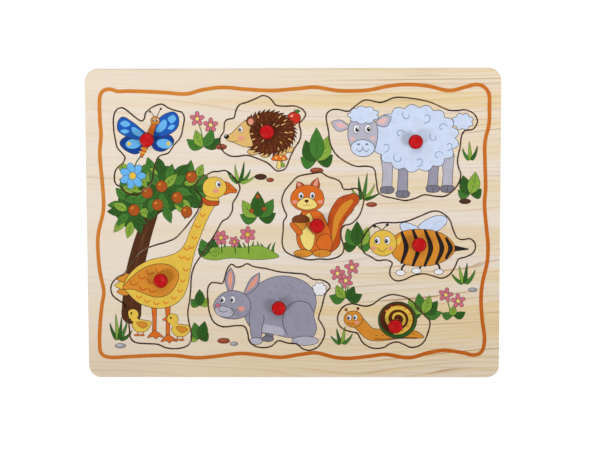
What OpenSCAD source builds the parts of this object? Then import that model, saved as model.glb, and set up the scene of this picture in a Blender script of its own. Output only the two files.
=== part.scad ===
// Peg puzzle: a printed wooden board with eight shaped pieces, each lifted out by its own knob.
// The origin is under the middle of the board, +X runs along its length and +Z points up.

/* [Board] */
// Length of the board
board_length = 400; // [390:1:440]
// Width of the board
board_width = 300; // [292:1:340]
// Thickness of the upper sheet, which is also the thickness of the pieces
sheet_thickness = 5; // [4:0.5:8]
// Thickness of the backing that closes the recesses from below
backing_thickness = 3; // [2:0.5:5]
// Radius of the board's four corners, seen from above
corner_radius = 12; // [4:0.5:25]
// Radius of the sanded edges round the board
edge_radius = 0.8; // [0.3:0.1:0.9]
// Width of the saw cut between a piece and the board
kerf = 1.1; // [0.6:0.1:1.8]

/* [Butterfly piece] */
// Width of the butterfly's cut line
butterfly_width = 68.5; // [60:0.5:76]
// Height of the butterfly's cut line
butterfly_height = 88; // [78:0.5:94]

/* [Hedgehog piece] */
// Width of the hedgehog's cut line
hedgehog_width = 83; // [74:0.5:90]
// Height of the hedgehog's cut line
hedgehog_height = 73; // [64:0.5:78]

/* [Sheep piece] */
// Width of the sheep's cut line
sheep_width = 146; // [130:0.5:152]
// Height of the sheep's cut line
sheep_height = 100.5; // [88:0.5:105]

/* [Squirrel piece] */
// Width of the squirrel's cut line
squirrel_width = 79.5; // [70:0.5:86]
// Height of the squirrel's cut line
squirrel_height = 85.5; // [76:0.5:92]

/* [Goose piece] */
// Width of the goose's cut line
goose_width = 127; // [114:0.5:132]
// Height of the goose's cut line
goose_height = 176; // [158:0.5:182]

/* [Rabbit piece] */
// Width of the rabbit's cut line
rabbit_width = 120; // [108:0.5:128]
// Height of the rabbit's cut line
rabbit_height = 85.5; // [76:0.5:91]

/* [Bee piece] */
// Width of the bee's cut line
bee_width = 111; // [98:0.5:118]
// Height of the bee's cut line
bee_height = 69; // [62:0.5:74]

/* [Snail piece] */
// Width of the snail's cut line
snail_width = 90.5; // [80:0.5:98]
// Height of the snail's cut line
snail_height = 53.5; // [47:0.5:58]

/* [Knobs] */
// Diameter of a knob's cap
knob_diameter = 14; // [12:0.5:18]
// Height of a knob above the piece
knob_height = 10; // [8:0.5:14]
// Diameter of the waist under the cap
waist_diameter = 8; // [7:0.5:10]
// Diameter of the foot that stands on the piece
foot_diameter = 11; // [9:0.5:11.5]
// Thickness of the foot
foot_thickness = 1.2; // [0.8:0.1:2]
// Thickness of the cap, whose rim is fully rounded
cap_thickness = 4.6; // [3.6:0.1:5.2]
// Diameter of the shallow dish in the top of the cap
dish_diameter = 8; // [4:0.5:9]
// Depth of the dish
dish_depth = 0.5; // [0.2:0.1:0.8]

/* [Stems and pins] */
// Outer diameter of the hollow stem under a knob
stem_diameter = 5; // [4.5:0.1:6]
// Diameter of the pin that is pushed into the stem from below
pin_diameter = 2.6; // [2:0.1:3]
// Diameter of the pin's flat head
pin_head_diameter = 9; // [8:0.5:11]
// Thickness of the pin's flat head
pin_head_thickness = 1; // [0.6:0.1:1.4]
// Height of the pin's head above the floor of the recess, so that it never scrapes there
pin_sink = 0.3; // [0.1:0.1:0.6]
// Height that the stem's bore reaches above the piece, up into the knob
bore_rise = 3.5; // [2:0.1:4.5]
// Room left between the end of the pin and the end of the bore
pin_end_room = 0.4; // [0.2:0.1:1]
// Clearance all round between a shaft and its hole
fit_clearance = 0.05; // [0.02:0.01:0.1]

/* [Hidden] */

// Circles are drawn with this many sides in a preview
$fn = 96;
// Straight steps along each stretch of a cut line
span_steps = 4;
// Overrun of a cut past the face it goes through
overrun = 1;

// Height of the board's upper face, with which the pieces lie flush
board_top = backing_thickness + sheet_thickness;
// Height of the ceiling of the round recess that takes a pin's head
counterbore_top = backing_thickness + pin_sink + pin_head_thickness;
// Radius of the rounding round a knob's cap
cap_rim_radius = cap_thickness / 2;
// Radius of the ball that leaves the dish in the flat of the cap
dish_radius = (dish_diameter * dish_diameter / 4 + dish_depth * dish_depth) / (2 * dish_depth);
// Height of the end of the bore in a knob's stem
stem_bore_top = board_top + bore_rise;

// Middle of each piece's cut line, as shares of the board's length and width from its centre
butterfly_place_shares = [-0.3465, 0.2415];
hedgehog_place_shares = [-0.0725, 0.2935];
sheep_place_shares = [0.2620, 0.2425];
squirrel_place_shares = [0.0720, 0.0255];
goose_place_shares = [-0.2855, -0.1155];
rabbit_place_shares = [-0.0590, -0.2700];
bee_place_shares = [0.3040, -0.0705];
snail_place_shares = [0.2200, -0.3165];

// Middle of each knob, as shares of its piece's width and height from the lower left corner
butterfly_knob_shares = [0.480, 0.610];
hedgehog_knob_shares = [0.554, 0.520];
sheep_knob_shares = [0.590, 0.570];
squirrel_knob_shares = [0.430, 0.400];
goose_knob_shares = [0.390, 0.390];
rabbit_knob_shares = [0.580, 0.500];
bee_knob_shares = [0.500, 0.525];
snail_knob_shares = [0.620, 0.430];

// Cut lines: clockwise points, as shares of a piece's width and height from its lower left corner
butterfly_outline_shares = [
    [0.120, 0.960], [0.200, 0.925], [0.300, 0.860], [0.390, 0.815], [0.436, 0.840],
    [0.460, 0.905], [0.554, 0.966], [0.680, 0.997], [0.780, 0.955], [0.890, 0.925],
    [0.968, 0.905], [1.000, 0.845], [0.980, 0.745], [0.942, 0.634], [0.850, 0.550],
    [0.770, 0.464], [0.645, 0.430], [0.590, 0.360], [0.554, 0.250], [0.530, 0.145],
    [0.443, 0.066], [0.362, 0.022], [0.285, 0.002], [0.156, 0.038], [0.100, 0.085],
    [0.027, 0.122], [0.002, 0.190], [0.030, 0.283], [0.130, 0.360], [0.156, 0.414],
    [0.120, 0.458], [0.050, 0.525], [0.022, 0.623], [0.003, 0.720], [0.002, 0.847],
    [0.040, 0.930]
];
hedgehog_outline_shares = [
    [0.505, 0.995], [0.575, 0.970], [0.615, 0.925], [0.660, 0.868], [0.762, 0.854],
    [0.870, 0.857], [0.960, 0.815], [1.000, 0.743], [0.965, 0.675], [0.925, 0.620],
    [0.944, 0.520], [0.932, 0.415], [0.870, 0.300], [0.815, 0.170], [0.775, 0.055],
    [0.727, 0.010], [0.658, 0.006], [0.590, 0.075], [0.534, 0.122], [0.440, 0.165],
    [0.322, 0.210], [0.215, 0.196], [0.129, 0.200], [0.050, 0.251], [0.008, 0.345],
    [0.008, 0.450], [0.048, 0.520], [0.060, 0.640], [0.100, 0.685], [0.169, 0.705],
    [0.192, 0.800], [0.235, 0.875], [0.320, 0.908], [0.410, 0.949]
];
sheep_outline_shares = [
    [0.003, 0.810], [0.030, 0.868], [0.080, 0.878], [0.149, 0.860], [0.190, 0.905],
    [0.261, 0.967], [0.362, 0.944], [0.440, 0.984], [0.500, 0.991], [0.612, 0.971],
    [0.700, 0.937], [0.800, 0.872], [0.859, 0.864], [0.920, 0.870], [0.975, 0.830],
    [0.997, 0.760], [0.970, 0.688], [0.915, 0.670], [0.893, 0.620], [0.885, 0.520],
    [0.868, 0.397], [0.875, 0.320], [0.890, 0.255], [0.878, 0.175], [0.840, 0.100],
    [0.785, 0.045], [0.720, 0.046], [0.650, 0.059], [0.597, 0.028], [0.530, 0.004],
    [0.456, 0.023], [0.375, 0.052], [0.343, 0.100], [0.333, 0.200], [0.318, 0.308],
    [0.270, 0.334], [0.200, 0.334], [0.130, 0.378], [0.070, 0.445], [0.030, 0.550],
    [0.018, 0.670]
];
squirrel_outline_shares = [
    [0.190, 0.945], [0.278, 0.972], [0.380, 0.985], [0.475, 0.997], [0.567, 0.949],
    [0.680, 0.912], [0.725, 0.870], [0.752, 0.812], [0.825, 0.805], [0.895, 0.817],
    [0.965, 0.780], [0.998, 0.700], [0.984, 0.610], [0.940, 0.505], [0.855, 0.422],
    [0.765, 0.395], [0.724, 0.345], [0.724, 0.255], [0.756, 0.165], [0.742, 0.085],
    [0.670, 0.032], [0.560, 0.010], [0.462, 0.016], [0.350, 0.005], [0.250, 0.020],
    [0.149, 0.048], [0.050, 0.098], [0.010, 0.165], [0.005, 0.246], [0.018, 0.340],
    [0.022, 0.440], [0.060, 0.508], [0.025, 0.590], [0.003, 0.686], [0.040, 0.790],
    [0.110, 0.870]
];
goose_outline_shares = [
    [0.780, 0.984], [0.830, 0.988], [0.890, 0.992], [0.945, 0.960], [0.995, 0.905],
    [0.975, 0.855], [0.942, 0.815], [0.938, 0.775], [0.905, 0.733], [0.857, 0.710],
    [0.805, 0.645], [0.743, 0.574], [0.692, 0.520], [0.645, 0.468], [0.621, 0.410],
    [0.614, 0.343], [0.604, 0.270], [0.590, 0.210], [0.598, 0.150], [0.614, 0.100],
    [0.612, 0.050], [0.575, 0.018], [0.500, 0.005], [0.420, 0.010], [0.355, 0.029],
    [0.272, 0.033], [0.185, 0.040], [0.145, 0.070], [0.138, 0.125], [0.127, 0.200],
    [0.105, 0.252], [0.050, 0.280], [0.008, 0.312], [0.005, 0.360], [0.050, 0.402],
    [0.107, 0.425], [0.150, 0.475], [0.205, 0.527], [0.275, 0.562], [0.350, 0.583],
    [0.440, 0.602], [0.515, 0.630], [0.614, 0.712], [0.675, 0.775], [0.705, 0.840],
    [0.668, 0.880], [0.657, 0.910], [0.700, 0.946]
];
rabbit_outline_shares = [
    [0.004, 0.710], [0.030, 0.775], [0.070, 0.782], [0.122, 0.775], [0.142, 0.835],
    [0.160, 0.925], [0.195, 0.992], [0.235, 0.962], [0.275, 0.965], [0.325, 0.998],
    [0.380, 0.965], [0.478, 0.942], [0.580, 0.907], [0.695, 0.890], [0.790, 0.875],
    [0.860, 0.820], [0.925, 0.812], [0.978, 0.775], [0.994, 0.725], [0.960, 0.665],
    [0.943, 0.590], [0.925, 0.490], [0.901, 0.375], [0.925, 0.310], [0.952, 0.220],
    [0.935, 0.125], [0.895, 0.045], [0.830, 0.004], [0.770, 0.025], [0.720, 0.078],
    [0.650, 0.088], [0.575, 0.114], [0.520, 0.055], [0.456, 0.034], [0.385, 0.053],
    [0.338, 0.110], [0.326, 0.200], [0.300, 0.277], [0.230, 0.288], [0.127, 0.276],
    [0.055, 0.325], [0.018, 0.430], [0.004, 0.576]
];
bee_outline_shares = [
    [0.001, 0.510], [0.012, 0.610], [0.045, 0.700], [0.110, 0.800], [0.190, 0.828],
    [0.299, 0.827], [0.400, 0.850], [0.500, 0.912], [0.590, 0.973], [0.655, 0.990],
    [0.720, 0.945], [0.770, 0.858], [0.800, 0.720], [0.833, 0.615], [0.880, 0.588],
    [0.945, 0.600], [0.985, 0.545], [0.992, 0.465], [0.965, 0.390], [0.905, 0.342],
    [0.846, 0.310], [0.815, 0.200], [0.765, 0.090], [0.700, 0.045], [0.627, 0.075],
    [0.550, 0.105], [0.460, 0.085], [0.373, 0.022], [0.305, 0.008], [0.255, 0.070],
    [0.250, 0.165], [0.268, 0.260], [0.215, 0.302], [0.142, 0.295], [0.080, 0.350],
    [0.025, 0.405]
];
snail_outline_shares = [
    [0.002, 0.560], [0.030, 0.700], [0.085, 0.793], [0.160, 0.823], [0.235, 0.800],
    [0.310, 0.780], [0.380, 0.815], [0.465, 0.920], [0.560, 0.984], [0.640, 0.984],
    [0.740, 0.935], [0.815, 0.850], [0.870, 0.745], [0.935, 0.613], [0.990, 0.515],
    [0.990, 0.400], [0.965, 0.250], [0.930, 0.127], [0.870, 0.045], [0.790, 0.025],
    [0.720, 0.075], [0.642, 0.123], [0.565, 0.090], [0.500, 0.022], [0.410, 0.004],
    [0.330, 0.040], [0.265, 0.130], [0.217, 0.275], [0.160, 0.307], [0.090, 0.340],
    [0.025, 0.420]
];

// Everything that one piece needs: size, place, knob and cut line
function piece_record(width, height, place_shares, knob_shares, outline_shares) = [
    [width, height],
    [place_shares[0] * board_length, place_shares[1] * board_width],
    knob_shares,
    outline_shares
];

butterfly = piece_record(butterfly_width, butterfly_height, butterfly_place_shares,
                         butterfly_knob_shares, butterfly_outline_shares);
hedgehog = piece_record(hedgehog_width, hedgehog_height, hedgehog_place_shares,
                        hedgehog_knob_shares, hedgehog_outline_shares);
sheep = piece_record(sheep_width, sheep_height, sheep_place_shares,
                     sheep_knob_shares, sheep_outline_shares);
squirrel = piece_record(squirrel_width, squirrel_height, squirrel_place_shares,
                        squirrel_knob_shares, squirrel_outline_shares);
goose = piece_record(goose_width, goose_height, goose_place_shares,
                     goose_knob_shares, goose_outline_shares);
rabbit = piece_record(rabbit_width, rabbit_height, rabbit_place_shares,
                      rabbit_knob_shares, rabbit_outline_shares);
bee = piece_record(bee_width, bee_height, bee_place_shares,
                   bee_knob_shares, bee_outline_shares);
snail = piece_record(snail_width, snail_height, snail_place_shares,
                     snail_knob_shares, snail_outline_shares);
all_pieces = [butterfly, hedgehog, sheep, squirrel, goose, rabbit, bee, snail];

// A point of a piece, given as shares from its lower left corner, in board millimetres
function on_board(piece, shares) = [
    piece[1][0] + (shares[0] - 1/2) * piece[0][0],
    piece[1][1] + (shares[1] - 1/2) * piece[0][1]
];

// One point of a smooth curve through b and c, with a and d as their neighbours
function curve_point(a, b, c, d, t) =
    ((2*b) + (c - a)*t + (2*a - 5*b + 4*c - d)*t*t + (3*b - a - 3*c + d)*t*t*t) / 2;

// A closed smooth curve through all the points
function closed_curve(points) = [
    for (i = [0 : len(points) - 1])
        for (s = [0 : span_steps - 1])
            curve_point(points[(i + len(points) - 1) % len(points)], points[i],
                        points[(i + 1) % len(points)], points[(i + 2) % len(points)],
                        s / span_steps)
];

// The same clockwise curve moved outwards by a distance, square to itself
function moved_out(curve, distance) = [
    for (i = [0 : len(curve) - 1])
        let (along = curve[(i + 1) % len(curve)] - curve[(i + len(curve) - 1) % len(curve)])
            curve[i] + distance * [-along[1], along[0]] / norm(along)
];

// The line of the saw cut round a piece, on the board
function cut_line(piece) = closed_curve([for (shares = piece[3]) on_board(piece, shares)]);

// Material that a cut line encloses, between two heights, grown or shrunk by a distance
module cut_solid(piece, growth, low, high) {
    translate([0, 0, low])
        linear_extrude(height = high - low)
            polygon(moved_out(cut_line(piece), growth));
}

// A board-shaped plate in two dimensions, drawn in from the board's edge by a distance
module board_outline(inset) {
    across = [board_length / 2 - corner_radius, board_width / 2 - corner_radius];
    square(2 * [across[0] + corner_radius - inset, across[1]], center = true);
    square(2 * [across[0], across[1] + corner_radius - inset], center = true);
    for (x = [-across[0], across[0]], y = [-across[1], across[1]])
        translate([x, y]) circle(corner_radius - inset);
}

// The sanded bead along one outer edge of the board, all the way round, centred at a height
module edge_bead(height) {
    across = [board_length / 2 - corner_radius, board_width / 2 - corner_radius];
    reach = corner_radius - edge_radius;
    for (side = [-1, 1]) {
        translate([0, side * (across[1] + reach), height])
            rotate([0, 90, 0]) cylinder(r = edge_radius, h = 2 * across[0], center = true);
        translate([side * (across[0] + reach), 0, height])
            rotate([90, 0, 0]) cylinder(r = edge_radius, h = 2 * across[1], center = true);
    }
    for (corner = [[1, 1, 0], [-1, 1, 90], [-1, -1, 180], [1, -1, 270]])
        translate([corner[0] * across[0], corner[1] * across[1], height])
            rotate([0, 0, corner[2]])
                rotate_extrude(angle = 90)
                    translate([reach, 0]) circle(edge_radius);
}

// Backing board: a thin plain plate with its lower edge sanded round
module backing_board() {
    color("burlywood") {
        linear_extrude(height = backing_thickness) board_outline(edge_radius);
        translate([0, 0, edge_radius])
            linear_extrude(height = backing_thickness - edge_radius) board_outline(0);
        edge_bead(edge_radius);
    }
}

// Upper sheet: as long and wide as the backing, sanded on top and cut out for every piece
module frame_board() {
    color("wheat")
        difference() {
            union() {
                translate([0, 0, backing_thickness])
                    linear_extrude(height = sheet_thickness) board_outline(edge_radius);
                translate([0, 0, backing_thickness])
                    linear_extrude(height = sheet_thickness - edge_radius) board_outline(0);
                edge_bead(board_top - edge_radius);
            }
            for (piece = all_pieces)
                cut_solid(piece, kerf / 2, backing_thickness - overrun, board_top + overrun);
        }
}

// Puzzle piece: the wood inside its cut line, bored for the knob's stem and the pin's head
module puzzle_piece(piece, tint) {
    knob_place = on_board(piece, piece[2]);
    color(tint)
        difference() {
            cut_solid(piece, -kerf / 2, backing_thickness, board_top);
            translate([knob_place[0], knob_place[1], backing_thickness - overrun]) {
                cylinder(d = stem_diameter + 2*fit_clearance, h = sheet_thickness + 2*overrun);
                cylinder(d = pin_head_diameter + 2*fit_clearance,
                         h = counterbore_top - backing_thickness + overrun);
            }
        }
}

// Half section of a knob's cap: rounded rim, flat middle
module cap_section(low) {
    rim_centre = knob_diameter / 2 - cap_rim_radius;
    translate([0, low]) square([rim_centre, cap_thickness]);
    intersection() {
        translate([rim_centre, low + cap_rim_radius]) circle(cap_rim_radius);
        translate([0, low]) square([knob_diameter / 2, cap_thickness]);
    }
}

// Knob: foot, waist and dished cap above the piece, and a hollow stem down through it
module knob(piece) {
    knob_place = on_board(piece, piece[2]);
    cap_low = board_top + knob_height - cap_thickness;
    dish_bottom = board_top + knob_height - dish_depth;
    color("crimson")
        translate([knob_place[0], knob_place[1], 0])
            difference() {
                rotate_extrude() {
                    translate([0, counterbore_top])
                        square([stem_diameter / 2, board_top - counterbore_top + foot_thickness]);
                    translate([0, board_top]) square([foot_diameter / 2, foot_thickness]);
                    translate([0, board_top])
                        square([waist_diameter / 2, knob_height - cap_rim_radius]);
                    cap_section(cap_low);
                }
                translate([0, 0, dish_bottom + dish_radius]) sphere(dish_radius);
                translate([0, 0, counterbore_top - overrun])
                    cylinder(d = pin_diameter + 2*fit_clearance,
                             h = stem_bore_top - counterbore_top + overrun);
            }
}

// Pin: a flat head under the piece and a shank up the knob's hollow stem
module pin(piece) {
    knob_place = on_board(piece, piece[2]);
    color("firebrick")
        translate([knob_place[0], knob_place[1], counterbore_top - pin_head_thickness]) {
            cylinder(d = pin_head_diameter, h = pin_head_thickness);
            cylinder(d = pin_diameter,
                     h = stem_bore_top - counterbore_top + pin_head_thickness - pin_end_room);
        }
}

module butterfly_piece() { puzzle_piece(butterfly, "royalblue"); }
module butterfly_knob() { knob(butterfly); }
module butterfly_pin() { pin(butterfly); }
module hedgehog_piece() { puzzle_piece(hedgehog, "saddlebrown"); }
module hedgehog_knob() { knob(hedgehog); }
module hedgehog_pin() { pin(hedgehog); }
module sheep_piece() { puzzle_piece(sheep, "lightsteelblue"); }
module sheep_knob() { knob(sheep); }
module sheep_pin() { pin(sheep); }
module squirrel_piece() { puzzle_piece(squirrel, "orange"); }
module squirrel_knob() { knob(squirrel); }
module squirrel_pin() { pin(squirrel); }
module goose_piece() { puzzle_piece(goose, "gold"); }
module goose_knob() { knob(goose); }
module goose_pin() { pin(goose); }
module rabbit_piece() { puzzle_piece(rabbit, "gray"); }
module rabbit_knob() { knob(rabbit); }
module rabbit_pin() { pin(rabbit); }
module bee_piece() { puzzle_piece(bee, "darkorange"); }
module bee_knob() { knob(bee); }
module bee_pin() { pin(bee); }
module snail_piece() { puzzle_piece(snail, "olivedrab"); }
module snail_knob() { knob(snail); }
module snail_pin() { pin(snail); }

backing_board();
frame_board();
butterfly_piece();
butterfly_knob();
butterfly_pin();
hedgehog_piece();
hedgehog_knob();
hedgehog_pin();
sheep_piece();
sheep_knob();
sheep_pin();
squirrel_piece();
squirrel_knob();
squirrel_pin();
goose_piece();
goose_knob();
goose_pin();
rabbit_piece();
rabbit_knob();
rabbit_pin();
bee_piece();
bee_knob();
bee_pin();
snail_piece();
snail_knob();
snail_pin();
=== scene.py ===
"""Looks of the peg puzzle: printed pine boards, burnt saw cuts, red plastic knobs, studio light and camera.

Every outline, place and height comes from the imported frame. Drawing is done in millimetres on the board's own
plane, x to the right and y to the top of the picture, and the meshes are made in metres. Only the border line
is given in pixels of the photo, which the camera's values bring to that plane.
"""

import math
import random

import bpy
import numpy as np
from mathutils import Euler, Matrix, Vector
from mathutils.geometry import delaunay_2d_cdt, tessellate_polygon


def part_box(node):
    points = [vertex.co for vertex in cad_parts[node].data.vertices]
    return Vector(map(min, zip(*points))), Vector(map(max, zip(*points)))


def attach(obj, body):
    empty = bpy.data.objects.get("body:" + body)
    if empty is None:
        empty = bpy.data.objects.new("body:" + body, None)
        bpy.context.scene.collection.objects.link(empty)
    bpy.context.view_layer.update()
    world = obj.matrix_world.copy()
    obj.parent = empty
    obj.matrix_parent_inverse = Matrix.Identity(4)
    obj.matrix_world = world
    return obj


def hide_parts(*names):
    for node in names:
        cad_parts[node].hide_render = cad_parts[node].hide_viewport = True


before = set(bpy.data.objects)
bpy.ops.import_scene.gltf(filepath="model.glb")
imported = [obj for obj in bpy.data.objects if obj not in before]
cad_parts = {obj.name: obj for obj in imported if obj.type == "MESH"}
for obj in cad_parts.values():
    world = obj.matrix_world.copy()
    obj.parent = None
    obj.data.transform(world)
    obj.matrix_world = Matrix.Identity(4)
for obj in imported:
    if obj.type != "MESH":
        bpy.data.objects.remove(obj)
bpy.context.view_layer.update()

MM = 0.001
PIECES = ["butterfly", "hedgehog", "sheep", "squirrel", "goose", "rabbit", "bee", "snail"]

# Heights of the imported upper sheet, in millimetres
board_low, board_high = (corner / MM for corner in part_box("frame_board"))
BOARD_TOP = board_high.z
SHEET_BOTTOM = board_low.z

# Board, in millimetres: its corner radius, and the rounding of its edge and of the cuts' rims with its steps
CORNER_RADIUS = 12
BOARD_EASE, BOARD_EASE_STEPS = 0.8, 6
CUT_EASE, CUT_EASE_STEPS = 0.2, 4
CUT_REFINE = 3

# Knob, in millimetres: its cap, its stem with the bore for the pin, and the pin's room in the piece
CAP_RADIUS, RIM_RADIUS = 7, 2.3
DISH_RADIUS, DISH_DEPTH = 4, 0.5
STEM_RADIUS, STEM_BORE = 2.5, 1.35
BORE_RISE = 3.5
PIN_PLAY = 0.05

# Material slots of a sheet: its top face, its cut walls, and its underside with the outer sides
PRINT_SLOT, CUT_SLOT, BARE_SLOT = 0, 1, 2

# Wood, in metres: growth lines that run in wide arches, and layers of veneer
LINES_PER_METRE = 185.0
ARCH, ARCH_MIDDLE = -0.21, 0.0475
VENEER = 0.00125

# Floor, in metres: just below the board, so that the two never share a plane
FLOOR = -0.0003
FLOOR_REACH = 3.0

# Packed points count as level with a height within this, in millimetres
SAME_HEIGHT = 0.002

# Print, in millimetres
LINE_WIDTH = 0.55
FINE_LINE = 0.4

# Camera of the photo: its place in metres, its turn, its lens in millimetres, and the photo's size in pixels
CAMERA_PLACE = Vector((0.0383, 0.1472, 1.6136))
CAMERA_TURN = Euler([math.radians(angle) for angle in (-5.61, 1.11, -0.17)])
LENS, SENSOR_WIDTH = 100, 36
PHOTO_WIDTH, PHOTO_HEIGHT = 600, 470

# Border, printed in short stretches that go from one colour to the other across the board; the upper left
# colour is the ink's own orange, the darker lower right one is painted shade where the light falls off
BORDER_WIDTH = 3.7
BORDER_STRETCHES = 48
BORDER_UPPER_LEFT, BORDER_LOWER_RIGHT = (215, 134, 51), (203, 104, 27)
FADE_ACROSS, FADE_UP = 500, 400

# Middle of the border line, read along each side of the photo, in pixels from its upper left corner
BORDER_TOP_PIXELS = [
    (109.5, 89.2), (113.7, 90.2), (118.5, 91.4), (127.7, 91.1), (143, 91.5), (165, 92.6), (186, 94),
    (202, 90), (222.6, 87.4), (246, 89.3), (272, 90.5), (299, 88.5), (315, 87.2), (336, 90.4),
    (351, 91), (369, 90), (389, 86), (408, 84.5), (428, 86), (449, 90.6), (466, 86.8), (476, 84.5),
    (484, 86.8), (489, 94.4)
]
BORDER_RIGHT_PIXELS = [
    (489.4, 106), (489, 124), (485, 142), (485, 162), (485.6, 187), (484.5, 205), (486.5, 228.5),
    (488, 246), (487, 263), (482.6, 282), (481, 298.6), (482, 318), (484.5, 338), (482, 351)
]
BORDER_BOTTOM_PIXELS = [
    (474, 355), (463, 352.8), (445, 350.3), (428, 352.8), (409, 357.7), (386, 354.5), (371, 356),
    (350.6, 358.3), (335, 357.3), (320, 353.5), (312, 352.9), (298, 354.8), (280, 357.3), (260, 355.2),
    (240, 353.5), (215, 356.4), (196, 357.8), (173, 355.4), (147, 355.8), (128, 356.7), (110, 357.3),
    (101.5, 353.5)
]
BORDER_LEFT_PIXELS = [
    (99.6, 343), (100.2, 323), (102, 305), (103.8, 291), (100, 272), (98, 251), (98.3, 233.6),
    (103, 213), (103.5, 199), (102, 180), (99.8, 154), (101, 136), (100, 121), (99.5, 108.7),
    (99.5, 100.7), (100.1, 95.8), (101.7, 92.3), (105, 89.9)
]

# Triangles of the print: how near points are taken as one, in millimetres, and how much is compared at a time
NEAR = 1e-4
WINDING_CHUNK = 400000

# Angles of the meshes' sharp edges, in degrees
SHEET_SHARP, KNOB_SHARP = 40, 50

# Inks, in the red, green and blue of the print
INKS = {
    "line": (58, 46, 40),
    "black": (34, 28, 28),
    "white": (246, 246, 250),
    "dark_green": (50, 95, 35),
    "green": (70, 126, 50),
    "leaf_line": (30, 58, 24),
    "light_green": (141, 177, 66),
    "blue": (30, 92, 186),
    "deep_blue": (22, 66, 150),
    "light_blue": (108, 188, 246),
    "orange": (226, 112, 36),
    "deep_orange": (198, 84, 30),
    "amber": (224, 146, 48),
    "yellow": (238, 199, 78),
    "pale_yellow": (250, 226, 130),
    "tan": (232, 190, 116),
    "brown": (90, 42, 18),
    "mid_brown": (128, 66, 34),
    "fruit": (176, 86, 32),
    "bark": (82, 45, 24),
    "bark_light": (108, 66, 40),
    "fleece": (213, 227, 253),
    "fleece_shade": (182, 200, 234),
    "fleece_line": (128, 146, 184),
    "grey": (157, 155, 174),
    "grey_light": (190, 188, 203),
    "grey_dark": (124, 122, 138),
    "pink": (212, 116, 134),
    "blush": (236, 160, 140),
    "pale_pink": (240, 192, 190),
    "stone_red": (150, 74, 50),
    "stone_red_light": (176, 98, 68),
    "stone_grey": (160, 160, 164),
    "stone_pale": (196, 196, 200),
    "stone_dark": (70, 46, 40),
    "apple": (206, 52, 34),
}


# Colours


def linear(channel):
    """One sRGB channel from 0 to 255, as the linear value that shaders use."""
    share = channel / 255
    return share / 12.92 if share <= 0.04045 else ((share + 0.055) / 1.055) ** 2.4


def rgb(red, green, blue):
    """A linear colour with full alpha."""
    return (linear(red), linear(green), linear(blue), 1.0)


# Curves in the plane of the board


def smooth(points, steps=6, closed=True):
    """A Catmull-Rom curve through the points."""
    p = np.asarray(points, float)
    if closed:
        before, after, beyond = np.roll(p, 1, 0), np.roll(p, -1, 0), np.roll(p, -2, 0)
        start = p
    else:
        padded = np.vstack([2 * p[0] - p[1], p, 2 * p[-1] - p[-2]])
        before, start, after, beyond = padded[:-3], padded[1:-2], padded[2:-1], padded[3:]
    t = (np.arange(steps) / steps)[None, :, None]
    a, b, c, d = (q[:, None, :] for q in (before, start, after, beyond))
    curve = (2 * b + (c - a) * t + (2 * a - 5 * b + 4 * c - d) * t**2 + (3 * b - a - 3 * c + d) * t**3) / 2
    curve = curve.reshape(-1, 2)
    return curve if closed else np.vstack([curve, p[-1]])


def area(loop):
    """Signed area of a closed loop, positive when it runs counter-clockwise."""
    x, y = loop[:, 0], loop[:, 1]
    return 0.5 * float(np.sum(x * np.roll(y, -1) - np.roll(x, -1) * y))


def outward(loop):
    """Unit normals to the right of a closed loop, which is outwards when it runs counter-clockwise."""
    along = np.roll(loop, -1, 0) - np.roll(loop, 1, 0)
    along /= np.maximum(np.linalg.norm(along, axis=1, keepdims=True), 1e-9)
    return np.column_stack([along[:, 1], -along[:, 0]])


def grown(loop, distance):
    """A closed loop moved outwards, or inwards by a negative distance."""
    return loop + outward(loop) * distance * (1 if area(loop) > 0 else -1)


def ellipse(x, y, rx, ry=None, turn=0, count=32):
    """An ellipse, turned counter-clockwise by degrees."""
    angle = np.linspace(0, 2 * np.pi, count, endpoint=False)
    px, py = rx * np.cos(angle), (rx if ry is None else ry) * np.sin(angle)
    c, s = math.cos(math.radians(turn)), math.sin(math.radians(turn))
    return np.column_stack([x + px * c - py * s, y + px * s + py * c])


def band(points, widths, steps=6):
    """A stroke of changing width along a smooth open line, with round ends."""
    line = smooth(points, steps, closed=False)
    at_points = np.arange(len(points)) * steps
    wide = np.interp(np.arange(len(line)), at_points, np.broadcast_to(widths, len(points))) / 2
    along = np.gradient(line, axis=0)
    along /= np.maximum(np.linalg.norm(along, axis=1, keepdims=True), 1e-9)
    side = np.column_stack([-along[:, 1], along[:, 0]])
    cap = np.radians([60, 30, 0, -30, -60])[:, None]
    end = line[-1] + wide[-1] * (np.cos(cap) * along[-1] + np.sin(cap) * side[-1])
    start = line[0] - wide[0] * (np.cos(cap) * along[0] + np.sin(cap) * side[0])
    return np.vstack([line + side * wide[:, None], end, (line - side * wide[:, None])[::-1], start])


def leaf(base, tip, width, bend=0.0, belly=0.42, count=11):
    """A leaf with a pointed tip: widest at the share belly of its length, its axis bowed sideways by bend."""
    base, tip = np.asarray(base, float), np.asarray(tip, float)
    along = tip - base
    side = np.array([-along[1], along[0]]) / np.linalg.norm(along)
    t = np.linspace(0, 1, count)[:, None]
    axis = base + along * t + side * bend * 4 * t * (1 - t)
    half = width / 2 * np.sin(np.pi * t ** (math.log(0.5) / math.log(belly)))
    return np.vstack([axis + side * half, (axis - side * half)[-2:0:-1]])


def blade(base, tip, width, bend=0.0, count=9):
    """A blade of grass: widest at its foot, running out to a point."""
    base, tip = np.asarray(base, float), np.asarray(tip, float)
    along = tip - base
    side = np.array([-along[1], along[0]]) / np.linalg.norm(along)
    t = np.linspace(0, 1, count)[:, None]
    axis = base + along * t + side * bend * 4 * t * (1 - t)
    half = width / 2 * (1 - t) ** 0.75 * np.minimum(1, 0.7 + 2 * t)
    return np.vstack([axis + side * half, (axis - side * half)[-2::-1]])


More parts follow.
